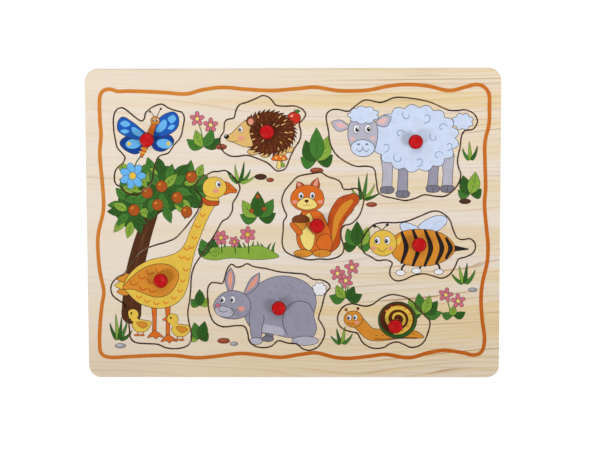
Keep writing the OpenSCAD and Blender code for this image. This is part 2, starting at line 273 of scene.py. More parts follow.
def cloud(x, y, rx, ry, bumps, depth=0.12, turn=0.0):
    """A closed outline of round bumps about an ellipse."""
    angle = np.linspace(0, 2 * np.pi, bumps * 8, endpoint=False)
    swell = 1 - depth + depth * 2 * np.abs(np.sin(bumps * angle / 2 + turn))
    return np.column_stack([x + rx * swell * np.cos(angle), y + ry * swell * np.sin(angle)])


def spikes(x, y, rx, ry, count, length):
    """A closed outline of short spines about an ellipse, all swept a little one way."""
    points = []
    for k in range(count):
        a = 2 * math.pi * k / count
        points.append((x + rx * math.cos(a), y + ry * math.sin(a)))
        b = a - 0.35 * 2 * math.pi / count
        points.append((x + (rx + length) * math.cos(b), y + (ry + length) * math.sin(b)))
    return np.array(points)


# Printing: a picture is a list of closed shapes with their inks, the later ones on top


def paint(picture, shape, ink, edge="line", width=LINE_WIDTH):
    """Adds a filled shape, with a thin edge round it unless edge is None."""
    if edge is None:
        picture.append((shape, ink))
        return
    picture.append((grown(shape, width / 2), edge))
    picture.append((grown(shape, -width / 2), ink))


def blob(picture, points, ink, edge="line", width=LINE_WIDTH, steps=6):
    """Adds a filled shape with a smooth outline through the points."""
    paint(picture, smooth(points, steps), ink, edge, width)


def dot(picture, ink, *place, **more):
    """Adds an ellipse without an edge."""
    picture.append((ellipse(*place, **more), ink))


def stroke(picture, points, width=LINE_WIDTH, ink="line", steps=6):
    """Adds a plain line."""
    picture.append((band(points, width, steps), ink))


def eye(picture, x, y, size=1.0, look=(-0.3, -0.2)):
    """A white eye with a dark pupil and a catch light."""
    paint(picture, ellipse(x, y, 2.3 * size, 3.0 * size), "white", width=FINE_LINE)
    px, py = x + look[0] * size * 2, y + look[1] * size * 2
    dot(picture, "black", px, py, 1.25 * size, 1.7 * size, count=20)
    dot(picture, "white", px + 0.4 * size, py + 0.7 * size, 0.42 * size, count=12)


def leaf_with_rib(picture, base, tip, width, ink, bend=0.0, rib=None):
    """A leaf with its midrib and a few side veins."""
    rib = rib or ("leaf_line" if ink == "dark_green" else "dark_green")
    paint(picture, leaf(base, tip, width, bend), ink, "leaf_line", FINE_LINE)
    base, tip = np.asarray(base, float), np.asarray(tip, float)
    side = np.array([-(tip - base)[1], (tip - base)[0]]) / np.linalg.norm(tip - base)
    middle = base + (tip - base) * 0.5 + side * bend
    near_tip = base + (tip - base) * 0.88 + side * bend * 0.4
    stroke(picture, [base + (tip - base) * 0.04, middle, near_tip], FINE_LINE, rib, 4)
    for share in (0.32, 0.54):
        root = base + (tip - base) * share + side * bend * 4 * share * (1 - share)
        for way in (-1, 1):
            reach = (tip - base) * 0.14 + side * way * width * 0.26
            stroke(picture, [root, root + reach * 0.6, root + reach], FINE_LINE * 0.7, rib, 3)


def grass(picture, x, y, blades, size=1.0):
    """A tuft of blades, each given as (lean, height, width, bend, ink)."""
    for lean, height, width, bend, ink in blades:
        foot = (x + lean * 0.12 * size, y)
        tip = (x + lean * size, y + height * size)
        paint(picture, blade(foot, tip, width * size, bend * size), ink, "leaf_line", FINE_LINE)


def bush(picture, x, y, leaves, size=1.0):
    """A low bush: leaves from one foot, each given as (reach x, reach y, width, bend, ink)."""
    for reach_x, reach_y, width, bend, ink in leaves:
        foot = (x + reach_x * 0.08, y + reach_y * 0.05)
        leaf_with_rib(picture, foot, (x + reach_x * size, y + reach_y * size), width * size, ink, bend * size)


def flower(picture, x, y, radius, petals, ink, middle="yellow", turn=0.0):
    """Round petals about a small middle."""
    for k in range(petals):
        a = 2 * math.pi * k / petals + turn
        cx, cy = x + radius * 0.58 * math.cos(a), y + radius * 0.58 * math.sin(a)
        petal = ellipse(cx, cy, radius * 0.46, radius * 0.3, math.degrees(a), 20)
        paint(picture, petal, ink, width=FINE_LINE)
    paint(picture, ellipse(x, y, radius * 0.28, count=20), middle, width=FINE_LINE)


def pebble(picture, x, y, rx, ry, ink, turn=0):
    """A flat stone with a lighter upper side."""
    paint(picture, ellipse(x, y, rx, ry, turn, 24), ink, width=FINE_LINE)
    lighter = {"stone_red": "stone_red_light", "stone_dark": "bark", "stone_grey": "stone_pale"}[ink]
    dot(picture, lighter, x - rx * 0.15, y + ry * 0.3, rx * 0.6, ry * 0.34, turn, 16)


def moved(picture, shift):
    """The same picture, drawn about another point."""
    return [(shape + np.asarray(shift), ink) for shape, ink in picture]


# Motifs, each drawn about the middle of its knob


def butterfly_motif():
    art = []
    bush(art, -14, -35, [(-15, 16, 9, 2, "light_green"), (17, 14, 9, -2, "green"), (-14, -12, 8, -2, "green"),
                         (13, -12, 8, 2, "light_green")])
    flower(art, -15, -35, 12.5, 7, "light_blue")
    stroke(art, [(-13, -26), (-10, -20), (-6, -15)], 1.2, "dark_green")
    for way, wing in ((-1, [(-1, 1), (-11, 4), (-21, 3), (-27, -3), (-22, -10), (-12, -14), (-4, -9)]),
                      (1, [(4, 2), (13, 5), (22, 4), (25.4, -2), (20, -8.6), (12, -11.6), (5, -8)])):
        blob(art, wing, "deep_blue")
        dot(art, "light_blue", way * 15 + 1, -4, 7.5, 4.6, way * -8)
        dot(art, "yellow", way * 19 + 1, -4, 1.9)
    left = [(0, 4), (-7, 11), (-15, 17.5), (-24, 22), (-29, 16), (-28, 8), (-20, 3), (-9, 0)]
    right = [(4, 8), (9, 18), (16.6, 24.4), (25.6, 26.6), (30.4, 20.4), (28.6, 11), (20.6, 5), (9, 3)]
    for wing in (left, right):
        blob(art, wing, "blue")
    for cell in ([(-4, 5), (-10, 10.5), (-15, 12), (-14, 6), (-8, 3)],
                 [(-16.6, 14.8), (-21.6, 18.4), (-26.4, 15.6), (-21.6, 12.2)],
                 [(-17.6, 8), (-22, 5.8), (-26.2, 8.4), (-22, 10)],
                 [(8, 9), (13, 17), (18, 19), (18, 12), (12, 7)],
                 [(19.6, 20.4), (25, 23.6), (27.6, 19.6), (23, 15.6)],
                 [(19.4, 10.6), (23.4, 9.6), (26.8, 13.4), (22.8, 14.2)]):
        blob(art, cell, "light_blue", None)
    paint(art, band([(-6, -16), (-3, -8), (2, 4), (6, 14)], [2.6, 5.6, 6.4, 5.0]), "orange")
    for y in (-12.5, -9):
        stroke(art, [(y * 0.37 - 3.1, y + 0.9), (y * 0.37 + 2.2, y - 0.9)], 1.1, "yellow", 2)
    for tip in ((2.5, 27), (13, 29.5)):
        stroke(art, [(7.5, 19), ((7.5 + tip[0]) / 2, 24.5), tip], 0.7, "line")
        dot(art, "line", *tip, 1.1, count=14)
    paint(art, ellipse(7.6, 18.2, 4.4, 4.1), "amber")
    eye(art, 6.3, 18.8, 0.5)
    eye(art, 9.6, 18.8, 0.5)
    stroke(art, [(6.2, 16.3), (7.8, 15.7), (9.4, 16.4)], FINE_LINE)
    return art


def hedgehog_motif():
    art = []
    paint(art, blade((16, -34), (11, -25), 4, 0), "light_green", width=FINE_LINE)
    paint(art, band([(11, -34), (11.3, -30), (11, -26)], [4.4, 3.4, 3.0]), "pale_yellow")
    blob(art, [(4, -27), (7, -22.5), (12, -21), (17, -23), (19, -27), (12, -28)], "orange")
    for x, y in ((8.5, -25), (13, -23.8), (15.6, -26)):
        dot(art, "pale_yellow", x, y, 1.1, 0.8, count=12)
    for x, y in ((-14, -19.3), (-2, -21.6), (14, -19.6), (21, -17)):
        paint(art, ellipse(x, y, 5.2, 3.2), "tan")
        stroke(art, [(x - 3, y - 2.6), (x - 2.6, y - 0.9)], FINE_LINE, steps=2)
        stroke(art, [(x - 0.8, y - 3.0), (x - 0.6, y - 1.2)], FINE_LINE, steps=2)
    paint(art, ellipse(25.8, 13, 6.4, 6.0), "apple")
    dot(art, "blush", 23.6, 15.1, 1.7, 1.2, 35, 14)
    stroke(art, [(25.8, 18), (26.4, 21)], 0.9, "bark", 2)
    leaf_with_rib(art, (26.6, 19), (32, 20), 3.4, "green")
    paint(art, spikes(1.5, -1, 24.5, 19.5, 36, 3.4), "brown")
    generator = random.Random(4)
    for ring, count in ((0.82, 26), (0.62, 20), (0.4, 12)):
        for k in range(count):
            a = 2 * math.pi * (k + generator.uniform(0, 0.6)) / count
            foot = (1.5 + 24.5 * ring * math.cos(a), -1 + 19.5 * ring * math.sin(a))
            reach = 4.2 + generator.uniform(-0.6, 0.8)
            tip = (foot[0] + reach * math.cos(a - 0.25), foot[1] + reach * 0.85 * math.sin(a - 0.25))
            art.append((blade(foot, tip, 1.5, 0.2, 4), generator.choice(["mid_brown", "tan", "mid_brown"])))
    face = [(-13, 12), (-21, 10.5), (-28, 5), (-34, -1), (-39.5, -4), (-39, -8), (-31, -11), (-22, -14.5),
            (-14, -13), (-17, 0)]
    blob(art, face, "tan")
    paint(art, ellipse(-15.5, 10, 4.6, 4.9), "mid_brown")
    dot(art, "blush", -15.8, 9.6, 2.5, 2.9)
    dot(art, "blush", -25, -6.2, 3.2, 2.2)
    paint(art, ellipse(-39.3, -4.6, 2.5, 2.2), "black", None)
    dot(art, "white", -39.9, -3.8, 0.7, 0.5, count=10)
    eye(art, -25.6, 2.4, 0.95)
    stroke(art, [(-35.6, -8.6), (-32, -9.6), (-28.6, -8.6)], FINE_LINE)
    return art


def sheep_motif():
    art = []
    paint(art, cloud(45.4, 19, 9.4, 7.4, 8), "fleece")
    for x, foot, ink in ((-12, -49, "grey"), (17, -44, "grey"), (-27, -45, "grey_light"),
                         (31, -44, "grey_light")):
        paint(art, band([(x, -14), (x + 0.4, -30), (x - 0.4, foot)], [13, 9, 10]), ink)
        hoof = [(x - 5.6, foot + 1), (x - 5.8, foot - 4), (x, foot - 5.2), (x + 5.8, foot - 4),
                (x + 5.6, foot + 1)]
        blob(art, hoof, "grey_dark", steps=4)
        stroke(art, [(x, foot - 4.8), (x, foot - 0.4)], FINE_LINE, steps=2)
    paint(art, cloud(0, 3, 40, 31, 17, 0.055), "fleece")
    for x, y, size, turn in ((-8, 25, 5, 1), (10, 23, 5.6, 2), (26, 13, 5, 0), (-16, -16, 5.4, 1),
                             (3, -19, 5.2, 2), (22, -14, 5.2, 0), (-29, -5, 5.4, 2), (18, 4, 4.6, 1),
                             (-15, 7, 4.8, 0), (32, -4, 4.6, 2)):
        a = np.linspace(0.3, 4.6, 9) + turn * 2.1
        r = size * np.linspace(1.0, 0.28, 9)
        stroke(art, np.column_stack([x + r * np.cos(a), y + r * np.sin(a)]), 0.7, "fleece_line", 2)
    paint(art, leaf((-62, 14), (-81, 19), 11, 1.5, 0.55), "grey_light")
    art.append((leaf((-65, 15), (-77, 17.8), 5, 1, 0.55), "pale_pink"))
    paint(art, leaf((-40, 17), (-23, 24), 11, -1.5, 0.55), "grey_light")
    art.append((leaf((-37.4, 18.4), (-27, 22.4), 5, -1, 0.55), "pale_pink"))
    face = [(-50, 26), (-61, 21), (-65, 9), (-63, -3), (-59, -11), (-50, -14.5), (-41, -11), (-37.4, -2),
            (-36, 10), (-39.6, 21)]
    blob(art, face, "grey_light")
    muzzle = [(-51, 2), (-60, -1.4), (-62, -7), (-57.4, -12.6), (-50, -14.4), (-43, -12.4), (-39, -7),
              (-42, -1)]
    blob(art, muzzle, "fleece")
    paint(art, cloud(-50, 25.5, 14, 8, 9, 0.1), "fleece")
    eye(art, -56.6, 12, 1.35, (0.25, -0.2))
    eye(art, -45.6, 12.4, 1.35, (0.25, -0.2))
    for x in (-54.6, -46.6):
        dot(art, "grey_dark", x, -2.6, 1.5, 1.0, count=14)
    stroke(art, [(-50.6, -4.4), (-50.6, -7.4)], steps=2)
    stroke(art, [(-56.4, -7.2), (-53.6, -9.8), (-50.6, -7.4), (-47.4, -9.8), (-44.8, -7.4)])
    dot(art, "pale_pink", -60.4, 2.6, 2.3, 1.7)
    dot(art, "pale_pink", -40.8, 3.4, 2.3, 1.7)
    return art


def squirrel_motif():
    art = []
    tail = band([(10, -25), (16.5, -17), (16.5, -5), (19.5, 8), (27, 19), (35, 25)], [7, 11, 12, 17, 19, 12],
                8)
    paint(art, tail, "deep_orange")
    stroke(art, [(13, -20), (16.6, -8), (19.6, 6), (26.5, 17), (33, 23)], [2, 4, 6.5, 7.5, 4], "amber", 8)
    for x, y in ((23, 2), (28, 8.5), (36, 15.5), (19.8, 20.5), (26.5, 27.6), (40, 22)):
        stroke(art, [(x, y), (x - 2.2, y - 2.6)], FINE_LINE, steps=2)
    for tip, root in (((-19, 42.6), (-14, 33)), ((1, 46), (-3.4, 34))):
        paint(art, leaf(root, tip, 9, 0, 0.36), "deep_orange")
        art.append((leaf(root, tip, 4.2, 0, 0.36), "blush"))
    body = [(-12, 15), (-18, 6), (-20, -7), (-18, -20), (-9, -27), (4, -28), (13, -23), (14, -11), (10, 1),
            (3, 13)]
    blob(art, body, "orange")
    blob(art, [(-8, 12), (-15, 3), (-17, -9), (-13, -21), (-6, -24), (-2, -12), (-3, 3)], "pale_yellow")
    blob(art, [(4, -24), (-1, -18), (3, -10), (11, -9), (15, -17), (12, -25)], "orange")
    for x in (-13.6, 4.6):
        paint(art, ellipse(x, -27.4, 9, 3.7), "amber")
        for toe in (-5.6, -2.8):
            stroke(art, [(x + toe, -30), (x + toe + 0.5, -27.8)], FINE_LINE, steps=2)
    head = [(-9, 39), (-18, 37), (-24.6, 30), (-25, 22), (-19, 15.6), (-9, 13.4), (1, 15.6), (6.6, 22),
            (5.6, 31), (0, 37)]
    blob(art, head, "orange")
    blob(art, [(-10, 27), (-18, 23), (-19.6, 18.6), (-14, 15.4), (-6, 15.2), (0, 18.4), (-2, 23.4)],
         "pale_yellow")
    for x in (-21.4, 3.2):
        dot(art, "blush", x, 22.6, 2.4, 1.8)
    eye(art, -15.4, 28.6, 1.1, (0.1, -0.2))
    eye(art, -4.4, 28.8, 1.1, (0.1, -0.2))
    paint(art, ellipse(-10, 23.4, 2.1, 1.5), "brown", None)
    stroke(art, [(-10, 22), (-10, 20)], FINE_LINE, steps=2)
    stroke(art, [(-13.4, 20), (-11.6, 18.7), (-10, 20), (-8.4, 18.7), (-6.6, 20)], FINE_LINE)
    blob(art, [(-22, 4), (-20, -2), (-15.6, -5.6), (-11, -2), (-9.4, 4)], "amber", steps=5)
    blob(art, [(-24, 4), (-22, 8.4), (-15.6, 10), (-9.4, 8.4), (-7.4, 4), (-15.6, 2.4)], "mid_brown", steps=5)
    stroke(art, [(-15.6, 9.6), (-15, 12.6)], 1.0, "brown", 2)
    for start, end in (((-20, -4), (-24, 1)), ((-5, -3), (-8.4, 1.4))):
        paint(art, band([(start[0] + 3, start[1] - 3), start, end], [6, 5.4, 4.4]), "orange")
    return art


def gosling(art, x, y, way):
    """A young bird standing, facing left for way -1 and right for way 1."""
    for foot in (-2.6, 2.6):
        stroke(art, [(x + foot, y - 6), (x + foot, y - 9.6)], 1.0, "deep_orange", 2)
        paint(art, ellipse(x + foot + way * 1.2, y - 10, 2.6, 1.0, count=16), "orange", width=FINE_LINE)
    body = [(x - way * 10.6, y + 3), (x - way * 5, y + 4.6), (x + way * 4, y + 5.4), (x + way * 8.2, y),
            (x + way * 4, y - 6.4), (x - way * 4, y - 6.6), (x - way * 9, y - 2)]
    blob(art, body, "yellow")
    blob(art, [(x + way * 4, y + 2.4), (x - way * 3, y + 2.8), (x - way * 7.4, y), (x - way * 2, y - 3.2)],
         "amber", width=FINE_LINE)
    paint(art, leaf((x + way * 11.4, y + 10.6), (x + way * 17.4, y + 9.6), 4.2, 0, 0.3), "orange",
          width=FINE_LINE)
    paint(art, ellipse(x + way * 7.2, y + 10.4, 5.6, 5.3), "yellow")
    dot(art, "yellow", x + way * 5.6, y + 5.4, 3.4, 2.2, count=20)
    dot(art, "black", x + way * 8.8, y + 11.6, 0.95, 1.25, count=14)


def goose_motif():
    art = []
    for tip, root, ink in (((-44, -12), (-26, -10), "amber"), ((-46.4, -6), (-26, -4), "yellow"),
                           ((-44, 0.4), (-24, 3), "amber")):
        paint(art, leaf(root, tip, 9, 0, 0.5), ink)
    for x, top, foot in ((-7.6, -20, -52), (5.6, -20, -56)):
        paint(art, band([(x, top), (x + 0.4, -38), (x, foot)], [6, 3.6, 3.8]), "orange")
        web = [(x - 1, foot + 1.6), (x - 7, foot - 5), (x - 1.4, foot - 4), (x + 1.6, foot - 6.4),
               (x + 4.4, foot - 4), (x + 9.4, foot - 4.6), (x + 2, foot + 1.6)]
        blob(art, web, "orange", steps=3)
    front = [(-37, -5), (-32, -14), (-22, -23), (-6, -28), (9, -26), (20, -18), (25.6, -6), (28, 7),
             (30.6, 19), (34, 31), (38.6, 43), (44, 56), (50, 68), (56.5, 79)]
    back = [(50, 87), (43.6, 81), (39.4, 70), (33.4, 59), (28, 47), (23.6, 36), (16.6, 27.4), (5, 23),
            (-12, 19), (-27, 10)]
    blob(art, front + back, "yellow")
    for x, y in ((36, 52), (41, 63), (32.6, 41), (25, 30), (30, 31.6), (20, 22), (26, 20.6), (24, 9.6),
                 (20.6, -1), (18, -11), (12, -18), (4, -22.4), (-5, -23.4), (-14, -21), (-22, -17)):
        stroke(art, [(x - 2.6, y + 1.4), (x - 0.4, y - 1.2), (x + 2.4, y + 0.8)], 1.0, "orange", 3)
    wing = [(16, 8), (6, 15), (-10, 14.4), (-25, 6), (-38, -8), (-27, -9.6), (-16, -14), (-6, -17),
            (4, -15.6), (11, -10), (16, -1)]
    blob(art, wing, "amber")
    for x, y in ((-27, -3.6), (-18, -8.4), (-9, -10.6), (-19, 2.6), (-10, -1.6), (-11, 7), (-2, 8.6)):
        stroke(art, [(x - 3.6, y + 2.2), (x - 1.2, y - 1.6), (x + 3.6, y - 0.2)], 1.0, "deep_orange")
    beak = [(61, 94.6), (66, 94.4), (71, 90), (74, 87), (73, 84.6), (67, 84.4), (61, 83)]
    blob(art, beak, "orange", steps=4)
    stroke(art, [(63, 88.4), (67.6, 87.8), (72.4, 86.4)], FINE_LINE)
    dot(art, "line", 66.4, 91, 0.9, 0.6, count=10)
    head = [(52, 100), (45, 98), (41, 91.6), (42, 84.6), (47, 80.4), (54, 79.6), (60, 82), (63.6, 87),
            (63.4, 93), (59, 98)]
    blob(art, head, "yellow")
    dot(art, "blush", 53.6, 86.4, 2.9, 2.1)
    eye(art, 56, 93, 1.15, (0.3, -0.15))
    paint(art, band([(40.6, 78.4), (46, 74.8), (54.6, 74.4)], [4.4, 5.2, 4.4]), "deep_orange")
    paint(art, leaf((41.4, 78), (33.4, 71.6), 5.4, 0.6, 0.6), "deep_orange")
    gosling(art, -21, -44.4, -1)
    gosling(art, 17.6, -49, -1)
    return art


def rabbit_motif():
    art = []
    paint(art, cloud(39.4, 17.6, 6.6, 6.0, 8), "white")
    paint(art, band([(-9, -18), (-9.4, -26), (-10, -30)], [10, 8, 7]), "grey_dark")
    paint(art, ellipse(-11, -31, 5.8, 2.9), "grey_dark")
    body = [(-34, 8), (-24, 20), (-4, 30), (16, 29), (31, 20), (36.4, 6), (34, -8), (36.6, -21), (30, -31),
            (10, -30), (-8, -26), (-24, -24), (-34, -8)]
    blob(art, body, "grey")
    blob(art, [(-25, -21), (-12, -25), (4, -27.6), (2, -20), (-12, -17), (-24, -13)], "grey_light", None)
    stroke(art, [(8, -27), (3.6, -14), (7.4, -1), (18, 6), (29, 3.4), (34, -5)], 0.6)
    paint(art, ellipse(25.4, -33, 13, 4.6), "grey_light")
    for x in (14.6, 17.4):
        stroke(art, [(x, -35.4), (x + 0.8, -32.6)], FINE_LINE, steps=2)
    foreleg = [(-28, -6), (-28.4, -18), (-26, -31), (-18, -31), (-16.4, -20), (-14.6, -10), (-19, -3)]
    blob(art, foreleg, "grey")
    blob(art, [(-27, -4), (-20, 1), (-14, -3), (-16.6, -9.4), (-22, -11), (-27.4, -9)], "grey", None)
    paint(art, ellipse(-22.4, -33.2, 6.4, 3.4), "grey_light")
    for root, tip, bend in (((-47, 8), (-46.4, 38.8), 0.8), ((-38, 8), (-18.6, 34), -1.6)):
        paint(art, leaf(root, tip, 9.6, bend, 0.62, 15), "grey")
        root, tip = np.array(root, float), np.array(tip, float)
        inner = leaf(root + (tip - root) * 0.24, root + (tip - root) * 0.92, 4.8, bend * 0.8, 0.6)
        art.append((inner, "blush"))
    head = [(-43, 16.4), (-53, 14.6), (-60.6, 8.6), (-63.6, 1), (-60.6, -6.4), (-52, -10.8), (-40.6, -11.4),
            (-31, -7.4), (-27.2, 2), (-32, 12)]
    blob(art, head, "grey")
    blob(art, [(-56.4, 1.4), (-62.2, -1), (-61, -6), (-55, -9.4), (-47.6, -9.6), (-44, -5.2), (-48, -0.6)],
         "grey_light")
    dot(art, "blush", -36.6, -1.6, 3.4, 2.4)
    paint(art, ellipse(-59.4, 1.6, 2.5, 1.8), "pink", width=FINE_LINE)
    stroke(art, [(-58.8, -0.2), (-57.6, -3.6), (-53.6, -4.8), (-50, -3.4)])
    for y in (-5.8, -3.8, -1.8):
        stroke(art, [(-47.6, y + 0.8), (-42.6, y * 1.1), (-37.4, y * 1.5 - 0.6)], 0.32)
    eye(art, -54.6, 7.4, 1.15)
    eye(art, -45, 7.6, 1.15)
    generator = random.Random(9)
    for _ in range(12):
        x, y = generator.uniform(-10, 28), generator.uniform(8, 24)
        if (x - 5) ** 2 / 900 + (y - 2) ** 2 / 560 < 1:
            stroke(art, [(x, y), (x + 1.4, y - 1.5), (x + 3.2, y - 1.6)], 0.4, "grey_dark", 3)
    return art


def bee_motif():
    art = []
    paint(art, ellipse(13, 18.6, 15.4, 7.4, 24), "fleece")
    paint(art, ellipse(-7, 13.4, 12.4, 5.6, 152), "fleece")
    for a, b in (((8, 12), (22, 23.6)), ((8, 12), (24, 19)), ((-4, 11.6), (-15, 17.4)),
                 ((-4, 11.6), (-13, 12.6))):
        stroke(art, [a, ((a[0] + b[0]) / 2, (a[1] + b[1]) / 2 + 0.8), b], FINE_LINE, "fleece_shade")
    for root, knee, foot in (((-12, -18), (-16, -23), (-16.4, -27)), ((3, -20), (1, -23.4), (-1, -25)),
                             ((17, -17), (20, -22), (20.6, -26))):
        stroke(art, [root, knee, foot], 1.9, "black")
        paint(art, ellipse(foot[0] - 1.2, foot[1] - 1, 4.6 if foot[0] else 3, 2.8), "white")
    paint(art, band([(30, -4), (38, -4.4), (47.6, -5)], [8, 4.2, 0.8]), "black")
    body = [(-27, -2), (-23, 8), (-12, 13.4), (4, 14.4), (20, 11.4), (31, 4), (35, -4), (31, -12), (19, -19),
            (3, -21.6), (-13, -19.6), (-24, -12)]
    blob(art, body, "amber")
    for x, top, bottom, bow in ((-15.5, 11.4, -18.2, 3.4), (-4.5, 13.4, -20.6, 4.2), (7, 13.4, -20.8, 4.6),
                                (18, 11, -19, 4.4), (27.6, 5.4, -13.4, 3.2)):
        stripe = [(x - 1, top), (x + bow, (top + bottom) / 2), (x - 1, bottom)]
        stroke(art, stripe, [2.6, 5.0, 2.6], "black", 8)
    blob(art, [(-21, 4), (-17.4, 8), (-17, 3), (-20, -1)], "yellow", None)
    for tip in ((-42.6, 17.4), (-30.4, 18.8)):
        stroke(art, [(-35.5, 13), ((-35.5 + tip[0]) / 2, 16.4), tip], 0.9, "black")
        dot(art, "black", *tip, 1.5, count=16)
    paint(art, ellipse(-34.6, 1, 13.2, 12.6), "yellow")
    dot(art, "blush", -43.6, -4, 2.6, 1.9)
    dot(art, "blush", -27.2, -4, 2.6, 1.9)
    eye(art, -40, 3.6, 1.25)
    eye(art, -30.4, 3.6, 1.25)
    stroke(art, [(-40, -3.6), (-37.4, -6.6), (-33.6, -6.6), (-31, -3.8)])
    return art


def snail_motif():
    art = []
    foot = band([(26.4, -11.4), (19, -9.4), (4, -8), (-12, -9.6), (-24, -8.4), (-32, -1), (-38, 5)],
                [3, 8, 10.4, 11.6, 12, 12, 13], 8)
    paint(art, foot, "amber")
    stroke(art, [(21, -12.4), (10, -12.2), (-8, -13.6), (-20, -13.4)], 0.9, "mid_brown")
    for k in range(7):
        dot(art, "mid_brown", -18 + k * 6, -10.2 + 0.3 * k, 0.9, 0.6, count=10)
    for root, tip in (((-43, 11), (-47.6, 15.4)), ((-37, 12), (-36, 16.4))):
        stroke(art, [root, ((root[0] + tip[0]) / 2 - 0.5, (root[1] + tip[1]) / 2), tip], 1.3, "amber")
        dot(art, "mid_brown", *tip, 1.6, count=16)
    paint(art, ellipse(-40.6, 6, 9.2, 8.0), "amber")
    dot(art, "blush", -37, 2.6, 2.2, 1.5)
    eye(art, -44.4, 7.6, 0.95)
    eye(art, -38.6, 7.8, 0.95)
    stroke(art, [(-46, 2.6), (-43, 0.9), (-39.6, 1.8)])
    paint(art, ellipse(2.4, 5.2, 18.8, 18.0), "dark_green")
    paint(art, ellipse(2.0, 6.4, 16.8, 15.8), "brown")
    turns = np.linspace(0.2, 4.2 * math.pi, 40)
    reach = 13.4 * (1 - turns / (4.2 * math.pi)) ** 0.85 + 1.2
    spiral = np.column_stack([2 + reach * np.cos(turns + 4.4), 6.4 + reach * 0.94 * np.sin(turns + 4.4)])
    stroke(art, spiral, np.linspace(4.4, 1.4, 40), "yellow", 2)
    for k in range(9):
        a = 4.6 + k * 0.52
        dot(art, "amber", 2 + 13.2 * math.cos(a), 6.4 + 12.4 * math.sin(a), 1.3, 1.0, count=12)
    return art


MOTIFS = {
    "butterfly": butterfly_motif,
    "hedgehog": hedgehog_motif,
    "sheep": sheep_motif,
    "squirrel": squirrel_motif,
    "goose": goose_motif,
    "rabbit": rabbit_motif,
    "bee": bee_motif,
    "snail": snail_motif,
}


# Scenery, printed over board and pieces alike


def leafy(picture, x, y, rx, ry, rings, size, generator):
    """A head of leaves that all point outwards, the inner rings lying over the outer ones."""
    paint(picture, cloud(x, y, rx * 0.95 + size * 0.4, ry * 0.95 + size * 0.4, 12, 0.05), "dark_green",
          "leaf_line")
    for share, count in rings:
        for k in range(count):
            a = 2 * math.pi * (k + generator.uniform(-0.22, 0.22)) / count + share * 4
            foot = (x + rx * share * math.cos(a), y + ry * share * math.sin(a))
            lean = a + generator.uniform(-0.4, 0.4)
            reach = size * generator.uniform(0.88, 1.12)
            tip = (foot[0] + reach * math.cos(lean), foot[1] + reach * math.sin(lean))
            ink = generator.choice(["dark_green", "green", "green", "light_green"])
            leaf_with_rib(picture, foot, tip, size * 0.52, ink, generator.uniform(-1.2, 1.2))


def fruit_tree(art):
    """A round-headed tree with brown fruit, left of the middle."""
    paint(art, band([(-136, 14), (-147, -18), (-155, -52), (-158, -88)], [12, 15, 17, 19], 8), "bark")
    for a, b in (((-141, -2), (-147, -24)), ((-145, -10), (-152, -38)), ((-150, -30), (-156, -60)),
                 ((-153, -50), (-158, -80))):
        stroke(art, [a, ((a[0] + b[0]) / 2 - 1, (a[1] + b[1]) / 2), b], 0.8, "bark_light")
    stroke(art, [(-139, 6), (-128, 14), (-116, 18)], 4.5, "bark")
    generator = random.Random(11)
    leafy(art, -157, 14, 9, 11, [(1.0, 10), (0.4, 5)], 16, generator)
    leafy(art, -98, 34, 14, 12, [(1.0, 11), (0.4, 6)], 16, generator)
    leafy(art, -128, 34, 24, 16, [(1.0, 15), (0.6, 10), (0.18, 5)], 17, generator)
    for x, y in ((-141, 31), (-127, 37), (-131, 19), (-154, 14), (-112, 26), (-98, 46), (-103, 12)):
        paint(art, ellipse(x, y, 5.4, 5.6), "fruit", "brown", FINE_LINE)
        dot(art, "amber", x - 1.8, y + 2.0, 1.5, 1.0, 35, 12)


